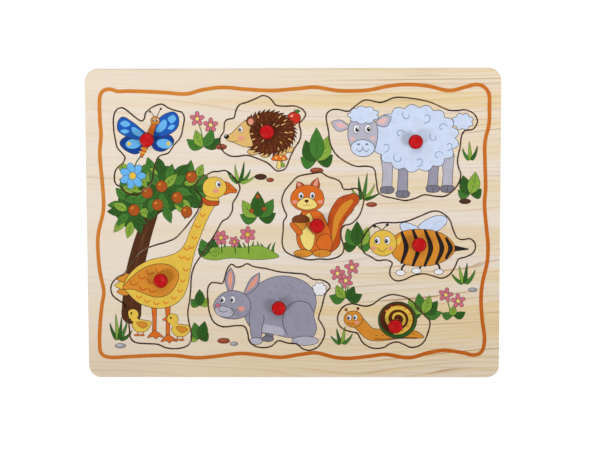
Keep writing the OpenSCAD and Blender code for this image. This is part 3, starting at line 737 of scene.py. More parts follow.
def meadow():
    """Everything of the printed scenery except the border."""
    art = []
    dark, mid, light = "dark_green", "green", "light_green"
    fruit_tree(art)
    grass(art, -171, -113, [(-7, 15, 4, 1, dark), (8, 17, 4, -1, mid), (-2, 23, 4, 0, light),
                            (12, 9, 4, -2, dark), (3, 20, 3.6, -0.5, dark)], 1.15)
    pebble(art, -169, -119, 5.4, 2.4, "stone_grey")
    bush(art, -86, 74, [(-13, 7, 8, 1.5, mid), (13, 8, 8, -1.5, dark), (-6, 14, 8, 1, light),
                        (7, 15, 8, -1, mid)], 1.25)
    for x, y in ((-92, 102), (-79, 96)):
        stroke(art, [(-86, 76), ((x - 86) / 2 + 1, (y + 76) / 2), (x, y)], 1.0, mid)
        flower(art, x, y, 7.0, 5, "pink", "pale_yellow", 0.3)
    pebble(art, -69, 75, 5.4, 2.7, "stone_red")
    grass(art, -52, 40, [(-9, 9, 3, 1, mid), (-3, 15, 3.2, 0.6, light), (4, 17, 3.4, -0.6, dark),
                         (9, 11, 3.2, -1.4, mid), (13, 6, 3, -1, light)], 1.25)
    pebble(art, -31, 46, 5.8, 2.8, "stone_dark")
    pebble(art, -22, 43, 3.6, 2.0, "stone_red")
    bush(art, -34, 6, [(-14, 3, 9, 2, mid), (14, 4, 9, -2, dark), (-12, 14, 10, 1.4, light),
                       (12, 15, 10, -1.4, mid), (0, 21, 11, 0, dark)], 1.25)
    for x, y in ((-40, 13), (-28, 15), (-34, 27)):
        paint(art, ellipse(x, y, 2.1), "fruit", width=FINE_LINE)
    hill = [(-88, -32), (-78, -25), (-64, -21.6), (-50, -22.6), (-34, -20.6), (-22, -25), (-14, -32),
            (-34, -34.6), (-60, -33), (-76, -35)]
    for lean, x in ((-3, -82), (2, -77), (-3, -72), (2, -67), (3, -60), (-3, -50), (-3, -46), (2, -40),
                    (-2, -33), (4, -25), (0, -53), (-4, -28), (3, -20)):
        paint(art, blade((x, -29), (x + lean, -14 - abs(lean)), 3.2, lean * 0.3), mid, "leaf_line", FINE_LINE)
    blob(art, hill, light, "leaf_line", FINE_LINE)
    for x, y, size in ((-70, -13, 7.4), (-44, -10, 7.8), (-57, -17, 5.4)):
        stroke(art, [(x + 1, -28), (x + 0.6, (y - 28) / 2), (x, y)], 1.1, dark)
        flower(art, x, y, size, 6, "pink", "yellow", size)
    bush(art, -82, -28, [(-9, 4, 8, 1.4, dark), (-6, 12, 9, 1, mid), (4, 13, 9, -1, dark),
                         (9, 5, 8, -1.4, light)], 1.15)
    bush(art, 23, 60, [(-13, 4, 11, 2, mid), (13, 6, 11, -2, dark), (-9, 18, 12, 1.6, dark),
                       (9, 21, 12, -1.6, light), (0, 28, 12, 0, mid)], 1.2)
    pebble(art, 23, 52, 6.4, 2.7, "stone_red")
    grass(art, 67, 24, [(-9, 10, 3.4, 1, light), (-3, 19, 3.6, 0.6, dark), (4, 22, 3.6, -0.4, mid),
                        (10, 13, 3.4, -1.4, light), (15, 6, 3.2, -1, dark)], 1.2)
    pebble(art, 76, 19, 5.2, 2.3, "stone_red")
    bush(art, 62, -22, [(-12, 3, 9, 1.4, dark), (12, 4, 9, -1.4, mid), (-8, 15, 10, 1, mid),
                        (9, 16, 10, -1, light), (0, 21, 10, 0, dark)], 1.2)
    for x, y in ((43, -48), (57, -42), (51, -55)):
        stroke(art, [(51, -72), ((x + 51) / 2, (y - 72) / 2), (x, y)], 1.1, mid)
        flower(art, x, y, 7.2, 5, "pink", "pale_yellow", x)
    bush(art, 51, -73, [(-14, 3, 9, 1.6, mid), (14, 4, 9, -1.6, dark), (-8, 12, 8, 1, light),
                        (7, 11, 8, -1, dark)], 1.15)
    bush(art, 171, 28, [(-10, 4, 9, 1.4, mid), (9, 5, 9, -1.4, dark), (-6, 16, 10, 1, dark),
                        (4, 19, 10, -1, light)], 1.2)
    pebble(art, 166, 22, 5.6, 2.5, "stone_dark")
    grass(art, 171, 62, [(-6, 9, 3.2, 1, mid), (-1, 14, 3.4, 0, light), (5, 11, 3.2, -1, dark)], 1.3)
    grass(art, 166, -58, [(-10, 8, 3.4, 1, mid), (-4, 14, 3.6, 0.6, light), (2, 16, 3.6, 0, dark),
                          (8, 11, 3.6, -1.2, mid)], 1.3)
    pebble(art, 174, -64, 4.2, 2.0, "stone_grey")
    bush(art, 126, -88, [(-16, 3, 9, 1.6, dark), (17, 2, 9, -1.6, mid), (-13, 13, 10, 1.2, light),
                         (13, 12, 10, -1.2, dark), (-4, 19, 10, 0.6, mid), (6, 17, 9, -0.6, light)], 1.1)
    for x, y in ((148, -69), (160, -75)):
        stroke(art, [(154, -90), ((x + 154) / 2, (y - 90) / 2), (x, y)], 1.1, mid)
        flower(art, x, y, 7.0, 5, "pink", "pale_yellow", y)
    bush(art, 155, -90, [(-10, 3, 7, 1.2, mid), (11, 4, 7, -1.2, dark), (0, 9, 7, 0, light)], 1.1)
    grass(art, 47, -117, [(-9, 7, 3.4, 1, mid), (-4, 13, 3.4, 0.6, dark), (3, 15, 3.6, 0, light),
                          (9, 9, 3.4, -1.2, mid)], 1.2)
    bush(art, -92, -113, [(-7, 5, 8, 1, light), (8, 6, 8, -1, dark), (-4, 15, 9, 0.4, mid),
                          (5, 16, 9, -0.6, dark)], 1.15)
    pebble(art, -68, -114, 6.0, 2.7, "stone_red")
    pebble(art, -58, -117, 3.8, 1.9, "stone_grey")
    bush(art, -91, -80, [(-7, 6, 7, 1, mid), (7, 7, 7, -1, light), (0, 14, 8, 0, dark)], 1.2)
    return art


def on_board(pixel):
    """Point of the board's face, in millimetres, that a pixel of the photo shows."""
    across, down = pixel
    ray = Vector((across - PHOTO_WIDTH / 2, PHOTO_HEIGHT / 2 - down, -LENS / SENSOR_WIDTH * PHOTO_WIDTH))
    ray.rotate(CAMERA_TURN)
    point = CAMERA_PLACE + ray * ((BOARD_TOP * MM - CAMERA_PLACE.z) / ray.z)
    return point.x / MM, point.y / MM


def wavy_border():
    """The orange line that runs round the picture in long soft waves."""
    pixels = BORDER_TOP_PIXELS + BORDER_RIGHT_PIXELS + BORDER_BOTTOM_PIXELS + BORDER_LEFT_PIXELS
    return smooth([on_board(pixel) for pixel in pixels])


def border_stretch(line, number):
    """One of the stretches of the border line, as a closed shape."""
    start, end = (int(k / BORDER_STRETCHES * len(line)) for k in (number, number + 1))
    return band(line[np.arange(start, end + 1) % len(line)], BORDER_WIDTH, 1)


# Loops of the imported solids


def rims(faces):
    """Ordered rings of point numbers round a set of faces, the faces on their left."""
    directed = {(a, b) for face in faces for a, b in zip(face, face[1:] + face[:1])}
    follow = {a: b for a, b in directed if (b, a) not in directed}
    rings = []
    while follow:
        ring = [min(follow)]
        while ring[-1] in follow:
            ring.append(follow.pop(ring[-1]))
        rings.append(ring[:-1])
    return rings


def flat_loops(node, height):
    """Rims of a node's flat face at a height, the material on their left, the largest first."""
    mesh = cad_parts[node].data
    points = np.array([vertex.co[:] for vertex in mesh.vertices]) / MM
    numbers = {}
    welded = [numbers.setdefault(tuple(np.round(point, 3)), number) for number, point in enumerate(points)]
    flat = np.abs(points[:, 2] - height) < SAME_HEIGHT
    level = [face.vertices for face in mesh.polygons if all(flat[v] for v in face.vertices)]
    faces = [[welded[v] for v in corners] for corners in level]
    return sorted((points[rim][:, :2] for rim in rims(faces)), key=lambda loop: -abs(area(loop)))


def board_outline(half, inset, steps=14):
    """The board's outline, moved in by an inset, counter-clockwise."""
    points = []
    for quarter, way in enumerate(((1, 1), (-1, 1), (-1, -1), (1, -1))):
        angle = np.radians(np.linspace(0, 90, steps + 1) + 90 * quarter)
        turn = np.column_stack([np.cos(angle), np.sin(angle)])
        points.append(np.array(way) * (half - CORNER_RADIUS) + (CORNER_RADIUS - inset) * turn)
    return np.vstack(points)


# Cutting the print into triangles


def winding(points, loop):
    """How often a closed loop runs round each point."""
    total = np.zeros(len(points), int)
    near = np.flatnonzero(np.all((points > loop.min(0)) & (points < loop.max(0)), axis=1))
    a, b = loop, np.roll(loop, -1, 0)
    for part in np.array_split(near, max(1, len(near) * len(loop) // WINDING_CHUNK)):
        x, y = points[part, 0][:, None], points[part, 1][:, None]
        side = (b[:, 0] - a[:, 0]) * (y - a[:, 1]) - (x - a[:, 0]) * (b[:, 1] - a[:, 1])
        up = (a[:, 1] <= y) & (b[:, 1] > y) & (side > 0)
        down = (a[:, 1] > y) & (b[:, 1] <= y) & (side < 0)
        total[part] = up.sum(1) - down.sum(1)
    return total


def printed_faces(loops, picture):
    """Triangles that fill a region, each with the ink of the top-most shape over it."""
    low, high = np.min([loop.min(0) for loop in loops], 0), np.max([loop.max(0) for loop in loops], 0)

    def near(shape):
        return np.all(shape.max(0) > low) and np.all(shape.min(0) < high)

    shapes = [(shape, ink) for shape, ink in picture if near(shape)]
    coordinates, edges = [], []
    for loop in loops + [shape for shape, ink in shapes]:
        start, count = len(coordinates), len(loop)
        coordinates.extend(Vector(point) for point in loop)
        edges.extend((start + k, start + (k + 1) % count) for k in range(count))
    found = delaunay_2d_cdt(coordinates, edges, [], 0, NEAR, False)
    points = np.array([point[:] for point in found[0]])
    faces = np.array([face[:] for face in found[2]])
    a, b, c = points[faces[:, 0]], points[faces[:, 1]], points[faces[:, 2]]
    turned = (b[:, 0] - a[:, 0]) * (c[:, 1] - a[:, 1]) - (b[:, 1] - a[:, 1]) * (c[:, 0] - a[:, 0]) < 0
    faces[turned] = faces[turned][:, ::-1]
    middles = points[faces].mean(1)
    kept = sum(winding(middles, loop) for loop in loops) != 0
    faces, middles = faces[kept], middles[kept]
    inks = np.zeros((len(faces), 4))
    left = np.arange(len(faces))
    for shape, ink in reversed(shapes):
        under = winding(middles[left], shape) != 0
        inks[left[under]] = rgb(*(INKS[ink] if isinstance(ink, str) else ink))
        left = left[~under]
    return points, faces, inks


def placed(name, data):
    """A new object in the scene."""
    thing = bpy.data.objects.new(name, data)
    bpy.context.scene.collection.objects.link(thing)
    return thing


class Solid:
    """A mesh in the making: points in millimetres, and faces with their ink, slot and smoothness."""

    def __init__(self):
        self.points, self.faces, self.inks, self.slots, self.soft = [], [], [], [], []

    def add_points(self, plane, height):
        start = len(self.points)
        self.points.extend((x, y, height) for x, y in plane)
        return np.arange(start, start + len(plane))

    def add_faces(self, faces, slot, soft, inks=None):
        self.faces.extend(tuple(int(v) for v in face) for face in faces)
        self.inks.extend(np.zeros((len(faces), 4)) if inks is None else inks)
        self.slots.extend([slot] * len(faces))
        self.soft.extend([soft] * len(faces))

    def add_wall(self, ring, plane, directions, profile):
        """A wall down from a ring along steps of (distance outwards, height, slot); returns its last ring."""
        for distance, height, slot in profile:
            below = self.add_points(plane + directions * distance, height)
            self.add_faces(np.column_stack([ring, below, np.roll(below, -1), np.roll(ring, -1)]), slot, True)
            ring = below
        return ring

    def add_bottom(self, rings, slot):
        """A flat underside between rings."""
        numbers = [v for ring in rings for v in ring]
        faces = []
        for corners in tessellate_polygon([[Vector(self.points[v]) for v in ring] for ring in rings]):
            a, b, c = (numbers[corner] for corner in corners)
            pa, pb, pc = self.points[a], self.points[b], self.points[c]
            size = (pb[0] - pa[0]) * (pc[1] - pa[1]) - (pb[1] - pa[1]) * (pc[0] - pa[0])
            faces.append((a, b, c) if size < 0 else (a, c, b))
        self.add_faces(faces, slot, False)

    def made(self, name, materials):
        mesh = bpy.data.meshes.new(name)
        mesh.from_pydata((np.array(self.points) * MM).tolist(), [], self.faces)
        for material in materials:
            mesh.materials.append(material)
        mesh.polygons.foreach_set("material_index", self.slots)
        mesh.polygons.foreach_set("use_smooth", self.soft)
        mesh.set_sharp_from_angle(angle=math.radians(SHEET_SHARP))
        layer = mesh.color_attributes.new("ink", "FLOAT_COLOR", "CORNER")
        sizes = np.array([len(face) for face in self.faces])
        inks = np.repeat(np.array(self.inks), sizes, axis=0).astype(np.float32)
        layer.data.foreach_set("color", inks.ravel())
        mesh.validate()
        mesh.update()
        return placed(name, mesh)


# Materials


def new_material(name):
    material = bpy.data.materials.new(name)
    material.use_nodes = True
    tree = material.node_tree
    tree.nodes.clear()
    shader = tree.nodes.new("ShaderNodeBsdfPrincipled")
    output = tree.nodes.new("ShaderNodeOutputMaterial")
    tree.links.new(shader.outputs["BSDF"], output.inputs["Surface"])
    return material, tree, shader


def add(tree, kind, inputs=None, **settings):
    """A node with its settings and inputs; a socket given as an input is linked, anything else is set."""
    node = tree.nodes.new(kind)
    for key, value in settings.items():
        setattr(node, key, value)
    for key, value in (inputs or {}).items():
        if isinstance(value, bpy.types.NodeSocket):
            tree.links.new(value, node.inputs[key])
        else:
            node.inputs[key].default_value = value
    return node


def object_place(tree):
    return add(tree, "ShaderNodeTexCoord").outputs["Object"]


def axes_of(tree, vector):
    """The three parts of a vector."""
    return add(tree, "ShaderNodeSeparateXYZ", {"Vector": vector}).outputs[:3]


def mixed(tree, share, first, second, blend="MIX"):
    """The colour between two colours."""
    inputs = {0: share, 6: first, 7: second}
    return add(tree, "ShaderNodeMix", inputs, data_type="RGBA", blend_type=blend,
               clamp_factor=True).outputs[2]


def calculated(tree, operation, first, second=0.0):
    return add(tree, "ShaderNodeMath", {0: first, 1: second}, operation=operation).outputs[0]


def times(tree, first, second):
    return calculated(tree, "MULTIPLY", first, second)


def plus(tree, first, second):
    return calculated(tree, "ADD", first, second)


def ranged(tree, value, low, high, to_low=0.0, to_high=1.0, smoothly=True):
    """A value brought from one range to another."""
    kind = "SMOOTHSTEP" if smoothly else "LINEAR"
    inputs = {"Value": value, "From Min": low, "From Max": high, "To Min": to_low, "To Max": to_high}
    return add(tree, "ShaderNodeMapRange", inputs, interpolation_type=kind).outputs["Result"]


def noise(tree, vector, scale, detail=3.0, roughness=0.55):
    """Noise stretched by a scale for each axis; an even scale may be given as one number."""
    scale = (scale,) * 3 if isinstance(scale, int) else scale
    place = add(tree, "ShaderNodeMapping", {"Vector": vector, "Scale": scale})
    inputs = {"Vector": place.outputs[0], "Scale": 1.0, "Detail": detail, "Roughness": roughness,
              "Distortion": 0.0}
    return add(tree, "ShaderNodeTexNoise", inputs).outputs["Fac"]


def spread(tree, value, to_low=0.0, to_high=1.0, smoothly=True):
    """A noise's usual values brought to a range."""
    return ranged(tree, value, 0.3, 0.7, to_low, to_high, smoothly)


def coated(tree, shader, colour, roughness):
    tree.links.new(colour, shader.inputs["Base Color"])
    tree.links.new(roughness, shader.inputs["Roughness"])


def bumped(tree, shader, height, strength, distance):
    """Raises the surface by a height."""
    node = add(tree, "ShaderNodeBump", {"Height": height, "Strength": strength, "Distance": distance})
    tree.links.new(node.outputs["Normal"], shader.inputs["Normal"])


def growth_lines(tree, place, x, y):
    """Where a point lies between two growth lines, from 0 to 1, and a random value for each line."""
    aside = calculated(tree, "SUBTRACT", x, ARCH_MIDDLE)
    height = plus(tree, y, times(tree, times(tree, aside, aside), ARCH))
    sway = spread(tree, noise(tree, place, (2.2, 7, 2.2), 2), -2.0, 2.0, False)
    uneven = spread(tree, noise(tree, place, (1.6, 44, 1.6), 1), -0.75, 0.75, False)
    rings = plus(tree, plus(tree, times(tree, height, LINES_PER_METRE), sway), uneven)
    number = {"W": calculated(tree, "FLOOR", rings)}
    single = add(tree, "ShaderNodeTexWhiteNoise", number, noise_dimensions="1D").outputs["Value"]
    return calculated(tree, "FRACT", rings), single


def pine(tree, pale, warm, streak):
    """Pale wood with its grain along X: returns its colour and the strength of its growth lines."""
    place = object_place(tree)
    x, y = axes_of(tree, place)[:2]
    turn, single = growth_lines(tree, place, x, y)
    fall = ranged(tree, turn, 0.9, 1.0, 1.0, 0.0)
    thin = times(tree, ranged(tree, turn, 0.68, 0.88), fall)
    length = ranged(tree, noise(tree, place, (5.5, 60, 5.5), 1), 0.36, 0.62, 0.05, 1.0)
    line = times(tree, times(tree, thin, ranged(tree, single, 0.15, 1.0, 0.1, 1.0)), length)
    fibres = ranged(tree, noise(tree, place, (12, 640, 12), 3, 0.6), 0.5, 0.8, 0.0, 0.4)

    # Lines are stronger to the right and near the long sides
    right = ranged(tree, x, -0.06, 0.15, 0.26, 1.35)
    outer = calculated(tree, "MAXIMUM", ranged(tree, y, -0.02, -0.09), ranged(tree, y, 0.07, 0.13))
    ends = ranged(tree, outer, 0.0, 1.0, 0.38, 1.0, False)
    patch = ranged(tree, noise(tree, place, (4, 14, 4), 2), 0.4, 0.66, 0.04, 0.2)
    strong = plus(tree, times(tree, right, ends), patch)
    strength = times(tree, calculated(tree, "MAXIMUM", line, fibres), strong)

    # Warm wood: more to the right, less in the middle, in bands and before each line
    across = ranged(tree, x, -0.17, 0.19, 0.22, 0.36, False)
    middle = times(tree, ranged(tree, y, -0.075, -0.045), ranged(tree, y, 0.085, 0.125, 1.0, 0.0))
    middle = times(tree, middle, ranged(tree, x, -0.19, 0.06, 0.06, 0.34))
    across = calculated(tree, "SUBTRACT", across, middle)
    bands = ranged(tree, noise(tree, place, (1.1, 40, 1.1), 2, 0.6), 0.4, 0.62, 0.0, 0.6)
    bands = times(tree, bands, ranged(tree, x, -0.19, 0.0, 0.3, 1.0))
    ramp = times(tree, times(tree, ranged(tree, turn, 0.2, 0.9), fall), strong)
    yellow = plus(tree, plus(tree, across, bands), times(tree, ramp, 0.3))
    base = mixed(tree, yellow, pale, warm)

    # Pinkish patches, and painted shade that darkens the wood towards the lower left, where the light falls off
    pink = ranged(tree, noise(tree, place, (1.4, 58, 1.4), 2), 0.52, 0.72, 0.0, 0.35)
    base = mixed(tree, pink, base, mixed(tree, 0.5, pale, rgb(222, 190, 172)))
    # Painted shade at the lower left corner of the board
    corner = times(tree, ranged(tree, x, -0.08, -0.19), ranged(tree, y, -0.09, -0.14, 0.0, 0.35))
    base = mixed(tree, corner, base, rgb(218, 194, 162))
    return mixed(tree, times(tree, strength, 0.8), base, streak), strength


def printed_wood():
    """Pine with inks over it, where the mesh carries them."""
    material, tree, shader = new_material("printed_wood")
    wood, strength = pine(tree, rgb(239, 228, 216), rgb(235, 210, 163), rgb(180, 136, 96))
    ink = add(tree, "ShaderNodeAttribute", attribute_name="ink")
    place = object_place(tree)
    uneven = spread(tree, noise(tree, place, 120), 0.0, 0.3)
    inked = mixed(tree, uneven, ink.outputs["Color"], rgb(224, 220, 216), "MULTIPLY")
    grained = mixed(tree, times(tree, strength, 0.1), inked, rgb(70, 54, 44))
    colour = mixed(tree, ink.outputs["Alpha"], wood, grained)
    coated(tree, shader, colour, spread(tree, noise(tree, place, (40, 300, 40), 2), 0.5, 0.62))
    shader.inputs["Specular IOR Level"].default_value = 0.07
    bumped(tree, shader, strength, 0.2, 0.0002)
    return material


def cut_wood():
    """Walls of the saw cuts: wood scorched by the cutter in patches, with painted shade that darkens them
    towards the floor of the cut.
    """
    material, tree, shader = new_material("cut_wood")
    place = object_place(tree)
    scorch = spread(tree, noise(tree, place, (500, 500, 60), 3), -0.2, 0.2)
    patchy = ranged(tree, noise(tree, place, 38, 2), 0.38, 0.62)
    brown = mixed(tree, plus(tree, scorch, patchy), rgb(146, 89, 54), rgb(60, 33, 20))
    # Painted shade in the narrow cut: darker from 7.7 mm down to 6 mm
    deep = ranged(tree, axes_of(tree, place)[2], 0.0077, 0.006, 0.0, 0.8)
    colour = mixed(tree, deep, brown, rgb(46, 29, 17))
    coated(tree, shader, colour, spread(tree, noise(tree, place, (300, 300, 60), 2), 0.7, 0.9))
    shader.inputs["Specular IOR Level"].default_value = 0.02
    bumped(tree, shader, noise(tree, place, (900, 900, 120), 2), 0.3, 0.0002)
    return material


def ply_edge():
    """Outer sides of the upper sheet: thin layers of veneer, every second one end grain."""
    material, tree, shader = new_material("ply_edge")
    wood = pine(tree, rgb(226, 202, 166), rgb(216, 186, 144), rgb(170, 124, 82))[0]
    place = object_place(tree)
    sway = spread(tree, noise(tree, place, 30, 2), -0.0001, 0.0001, False)
    height = plus(tree, axes_of(tree, place)[2], sway)
    ends = ranged(tree, calculated(tree, "PINGPONG", height, VENEER), 0.00055, 0.0007)
    pores = ranged(tree, noise(tree, place, (1400, 1400, 300), 3), 0.42, 0.66)
    end_grain = mixed(tree, pores, rgb(196, 160, 116), rgb(140, 100, 64))
    colour = mixed(tree, ends, wood, end_grain)
    coated(tree, shader, colour, spread(tree, noise(tree, place, 200, 2), 0.55, 0.75))
    bumped(tree, shader, pores, 0.25, 0.0001)
    return material


def backing_wood():
    """Bare wood of the backing board and of the pieces' undersides."""
    material, tree, shader = new_material("backing_wood")
    wood, strength = pine(tree, rgb(220, 196, 160), rgb(208, 178, 136), rgb(156, 112, 74))
    place = object_place(tree)
    speckle = ranged(tree, noise(tree, place, (260, 900, 260), 3), 0.5, 0.72, 0.0, 0.35)
    colour = mixed(tree, speckle, wood, rgb(168, 128, 88))
    coated(tree, shader, colour, spread(tree, noise(tree, place, (50, 260, 50), 2), 0.6, 0.75))
    bumped(tree, shader, strength, 0.35, 0.0002)
    return material


def red_plastic():
    """Smooth plastic, with painted shade that darkens it where the surface turns down at the cap's rim."""
    material, tree, shader = new_material("red_plastic")
    place = object_place(tree)
    cloudy = spread(tree, noise(tree, place, 160, 2))
    face = mixed(tree, cloudy, rgb(203, 8, 13), rgb(187, 6, 10))
    level = axes_of(tree, add(tree, "ShaderNodeTexCoord").outputs["Normal"])[2]
    # Painted shade: darker red where the surface turns away from straight up
    colour = mixed(tree, ranged(tree, level, 0.98, 0.45, 0.0, 0.85), face, rgb(132, 6, 16))
    coated(tree, shader, colour, spread(tree, noise(tree, place, 700, 3), 0.3, 0.4))
    shader.inputs["Specular IOR Level"].default_value = 0.14
    bumped(tree, shader, noise(tree, place, 1500, 2), 0.06, 0.0001)
    return material


PRINTED, CUT, PLY, BACKING, RED = printed_wood(), cut_wood(), ply_edge(), backing_wood(), red_plastic()


# Printed board and pieces


def eased(ease, steps, edge_slot, wall_slot):
    """Profile of a rounded upper edge and the straight wall below it."""
    turns = [math.pi / 2 * k / steps for k in range(1, steps + 1)]
    edge = [(ease * math.sin(a), BOARD_TOP - ease * (1 - math.cos(a)), edge_slot) for a in turns]
    return edge + [(ease, SHEET_BOTTOM, wall_slot)]


def cut_line(loop):
    """A saw cut's rim, refined and moved into the material on its left by its easing."""
    fine = smooth(loop, CUT_REFINE)
    return fine - outward(fine) * CUT_EASE


def printed_sheet(name, loops, picture, materials, first_wall, other_wall, first_way=outward):
    """A sheet with an inked top, a wall down from each rim, the largest first, and a flat underside."""
    points, faces, inks = printed_faces(loops, picture)
    solid = Solid()
    solid.add_points(points, BOARD_TOP)
    solid.add_faces(faces, PRINT_SLOT, False, inks)
    bottoms = []
    for ring in sorted(rims(faces.tolist()), key=lambda ring: -abs(area(points[ring]))):
        way, wall = (outward, other_wall) if bottoms else (first_way, first_wall)
        bottoms.append(solid.add_wall(np.array(ring), points[ring], way(points[ring]), wall))
    solid.add_bottom(bottoms, BARE_SLOT)
    return solid.made(name, materials)


CUT_WALL = eased(CUT_EASE, CUT_EASE_STEPS, CUT_SLOT, CUT_SLOT)
SCENERY = meadow()
BORDER = wavy_border()
for stretch in range(BORDER_STRETCHES):
    line = border_stretch(BORDER, stretch)
    # Painted shade: each stretch darkens towards the lower right of the board
    border_shade = float(np.clip(0.5 + line[:, 0].mean() / FADE_ACROSS - line[:, 1].mean() / FADE_UP, 0, 1))
    SCENERY.append((line, tuple(a + (b - a) * border_shade for a, b in zip(BORDER_UPPER_LEFT, BORDER_LOWER_RIGHT))))

knob_places = {}
for piece in PIECES:
    low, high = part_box(piece + "_pin")
    knob_places[piece] = np.array([(low.x + high.x) / 2, (low.y + high.y) / 2]) / MM


def make_frame():
    half = np.array([board_high.x, board_high.y])

    def from_core(plane):
        away = plane - np.clip(plane, CORNER_RADIUS - half, half - CORNER_RADIUS)
        return away / np.linalg.norm(away, axis=1, keepdims=True)

    recesses = flat_loops("frame_board", BOARD_TOP)[1:]
    loops = [board_outline(half, BOARD_EASE)] + [cut_line(loop) for loop in recesses]
    side = eased(BOARD_EASE, BOARD_EASE_STEPS, PRINT_SLOT, BARE_SLOT)
    thing = printed_sheet("printed_frame", loops, SCENERY, [PRINTED, CUT, PLY], side, CUT_WALL, from_core)
    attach(thing, "board")
    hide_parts("frame_board")


def make_piece(piece):
    node = piece + "_piece"
    outline, bore = flat_loops(node, BOARD_TOP)[:2]
    picture = SCENERY + moved(MOTIFS[piece](), knob_places[piece])
    pin_low, pin_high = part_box(piece + "_pin")
    shoulder = math.sqrt(abs(area(bore)) / math.pi) - ((pin_high - pin_low).x / MM / 2 + PIN_PLAY)
    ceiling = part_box(piece + "_knob")[0].z / MM
    bore_wall = [(0, ceiling, CUT_SLOT), (shoulder, ceiling, CUT_SLOT), (shoulder, SHEET_BOTTOM, CUT_SLOT)]
    loops = [cut_line(outline), bore]
    thing = printed_sheet("printed_" + piece, loops, picture, [PRINTED, CUT, BACKING], CUT_WALL, bore_wall)
    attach(thing, piece)
    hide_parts(node)


make_frame()
for piece in PIECES:
    make_piece(piece)


# Knobs


def arc(centre, radius, start, end, steps):
    """Points of an arc in the half section, in degrees from the outward axis."""
    angles = np.radians(np.linspace(start, end, steps + 1))
    return [(centre[0] + radius * math.cos(a), centre[1] + radius * math.sin(a)) for a in angles]


def knob_section(base, top, stem_low, bore_top):
    """Half section of a knob as (radius, height): dish, bullnose cap, waist, foot and hollow stem."""
    under_cap = top - 2 * RIM_RADIUS
    dish = [(DISH_RADIUS * k / 6, top - DISH_DEPTH * (1 - (k / 6) ** 2)) for k in range(6)]
    rim = arc((CAP_RADIUS - RIM_RADIUS, top - RIM_RADIUS), RIM_RADIUS, 90, -90, 16)
    cap = [(3.9, top - 0.03), (4.25, top)] + rim[1:]
    waist = [(4.5, under_cap)] + arc((4.4, under_cap - 0.4), 0.4, 90, 180, 4)[1:]
    foot = arc((4.6, base + 1.8), 0.6, 180, 270, 4) + arc((5.1, base + 0.8), 0.4, 90, 0, 4) + [(5.5, base)]
    stem = [(STEM_RADIUS, base), (STEM_RADIUS, stem_low), (STEM_BORE, stem_low), (STEM_BORE, bore_top),
            (0, bore_top)]
    return dish + cap + waist + foot + stem


def turned(name, place, section, material, count=72):
    """A solid turned from a half section that starts and ends on its axis."""
    x, y = place
    points, faces = [(x, y, section[0][1])], []
    angles = 2 * np.pi * np.arange(count) / count
    for radius, height in section[1:-1]:
        points.extend((x + radius * math.cos(a), y + radius * math.sin(a), height) for a in angles)
    points.append((x, y, section[-1][1]))
    last = len(points) - 1
    rows = len(section) - 2
    for k in range(count):
        n = (k + 1) % count
        faces.append((0, 1 + k, 1 + n))
        for row in range(rows - 1):
            a, b = 1 + row * count, 1 + (row + 1) * count
            faces.append((a + k, b + k, b + n, a + n))
        a = 1 + (rows - 1) * count
        faces.append((a + k, last, a + n))
    mesh = bpy.data.meshes.new(name)
    mesh.from_pydata((np.array(points) * MM).tolist(), [], faces)
    mesh.materials.append(material)
    mesh.polygons.foreach_set("use_smooth", [True] * len(faces))
    mesh.set_sharp_from_angle(angle=math.radians(KNOB_SHARP))
    mesh.update()
    return placed(name, mesh)


for piece in PIECES:
    low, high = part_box(piece + "_knob")
    section = knob_section(BOARD_TOP, high.z / MM, low.z / MM, BOARD_TOP + BORE_RISE)
    knob = turned("turned_" + piece + "_knob", knob_places[piece], section, RED)
    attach(knob, piece)
    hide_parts(piece + "_knob")


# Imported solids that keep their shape


def dress(node, material):
    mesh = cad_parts[node].data
    mesh.materials.clear()
    mesh.materials.append(material)


dress("backing_board", BACKING)
for piece in PIECES:
    dress(piece + "_pin", RED)


# Floor, world, lamps and camera


def is_seen(tree):
    """1 for rays from the camera and for those seen in gloss or through glass."""
    path = add(tree, "ShaderNodeLightPath")
    seen = calculated(tree, "MAXIMUM", path.outputs["Is Camera Ray"], path.outputs["Is Glossy Ray"])
    return calculated(tree, "MAXIMUM", seen, path.outputs["Is Transmission Ray"])


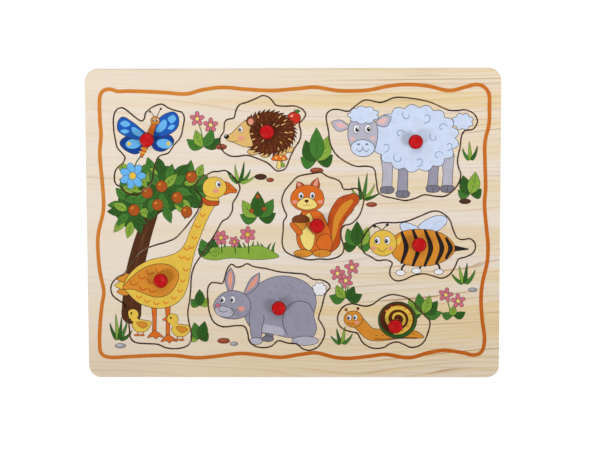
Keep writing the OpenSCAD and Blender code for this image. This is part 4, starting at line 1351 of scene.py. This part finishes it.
def make_floor():
    """A pale floor that is seen as white, a little greyer near the board, and keeps its shadow."""
    material = bpy.data.materials.new("floor")
    material.use_nodes = True
    tree = material.node_tree
    tree.nodes.clear()
    plain = add(tree, "ShaderNodeBsdfDiffuse", {"Color": (0.85, 0.85, 0.85, 1)})
    seen_shade = add(tree, "ShaderNodeBsdfDiffuse", {"Color": (0.3, 0.3, 0.3, 1)})
    away = add(tree, "ShaderNodeVectorMath", {0: object_place(tree)}, operation="LENGTH").outputs["Value"]
    level = ranged(tree, away, 0.35, 1.1, 0.82, 1.0)
    glow = add(tree, "ShaderNodeEmission", {"Color": (1, 1, 1, 1), "Strength": level})
    both = add(tree, "ShaderNodeAddShader", {0: seen_shade.outputs[0], 1: glow.outputs[0]})
    pick = add(tree, "ShaderNodeMixShader", {0: is_seen(tree), 1: plain.outputs[0], 2: both.outputs[0]})
    add(tree, "ShaderNodeOutputMaterial", {"Surface": pick.outputs[0]})
    count = 48
    angles = [2 * math.pi * k / count for k in range(count)]
    points = [(0, 0, FLOOR)] + [(FLOOR_REACH * math.cos(a), FLOOR_REACH * math.sin(a), FLOOR) for a in angles]
    mesh = bpy.data.meshes.new("floor")
    mesh.from_pydata(points, [], [(0, 1 + k, 1 + (k + 1) % count) for k in range(count)])
    mesh.materials.append(material)
    floor = placed("floor", mesh)


def make_world():
    """A weak even light that is seen as white."""
    world = bpy.data.worlds.new("studio")
    world.use_nodes = True
    tree = world.node_tree
    tree.nodes.clear()
    soft = add(tree, "ShaderNodeBackground", {"Color": (1, 1, 1, 1), "Strength": 0.14})
    white = add(tree, "ShaderNodeBackground", {"Color": (1, 1, 1, 1), "Strength": 1.0})
    pick = add(tree, "ShaderNodeMixShader", {0: is_seen(tree), 1: soft.outputs[0], 2: white.outputs[0]})
    add(tree, "ShaderNodeOutputWorld", {"Surface": pick.outputs[0]})
    bpy.context.scene.world = world


def lamp(name, place, aim, size, power):
    """A square lamp that faces a point on the floor."""
    data = bpy.data.lights.new(name, "AREA")
    data.shape, data.size, data.energy = "SQUARE", size, power
    thing = placed(name, data)
    thing.location = place
    thing.rotation_euler = (Vector((*aim, 0)) - Vector(place)).to_track_quat("-Z", "Y").to_euler()
    thing.visible_camera = False


make_floor()
make_world()
lamp("right_lamp", (0.95, -0.23, 1.02), (0.17, 2.63), 0.6, 13.3)
lamp("left_lamp", (-0.86, -0.53, 1.04), (-1.74, 2.78), 0.6, 17.3)
lamp("top_lamp", (0, 0.75, 1.1), (0.03, 0.73), 0.9, 6.3)

camera_data = bpy.data.cameras.new("camera")
camera_data.lens = LENS
camera_data.sensor_width = SENSOR_WIDTH
camera_data.clip_start = 0.01
camera = placed("camera", camera_data)
camera.location = CAMERA_PLACE
camera.rotation_euler = CAMERA_TURN
bpy.context.scene.camera = camera
bpy.context.scene.view_settings.view_transform = "Standard"

bpy.context.view_layer.update()
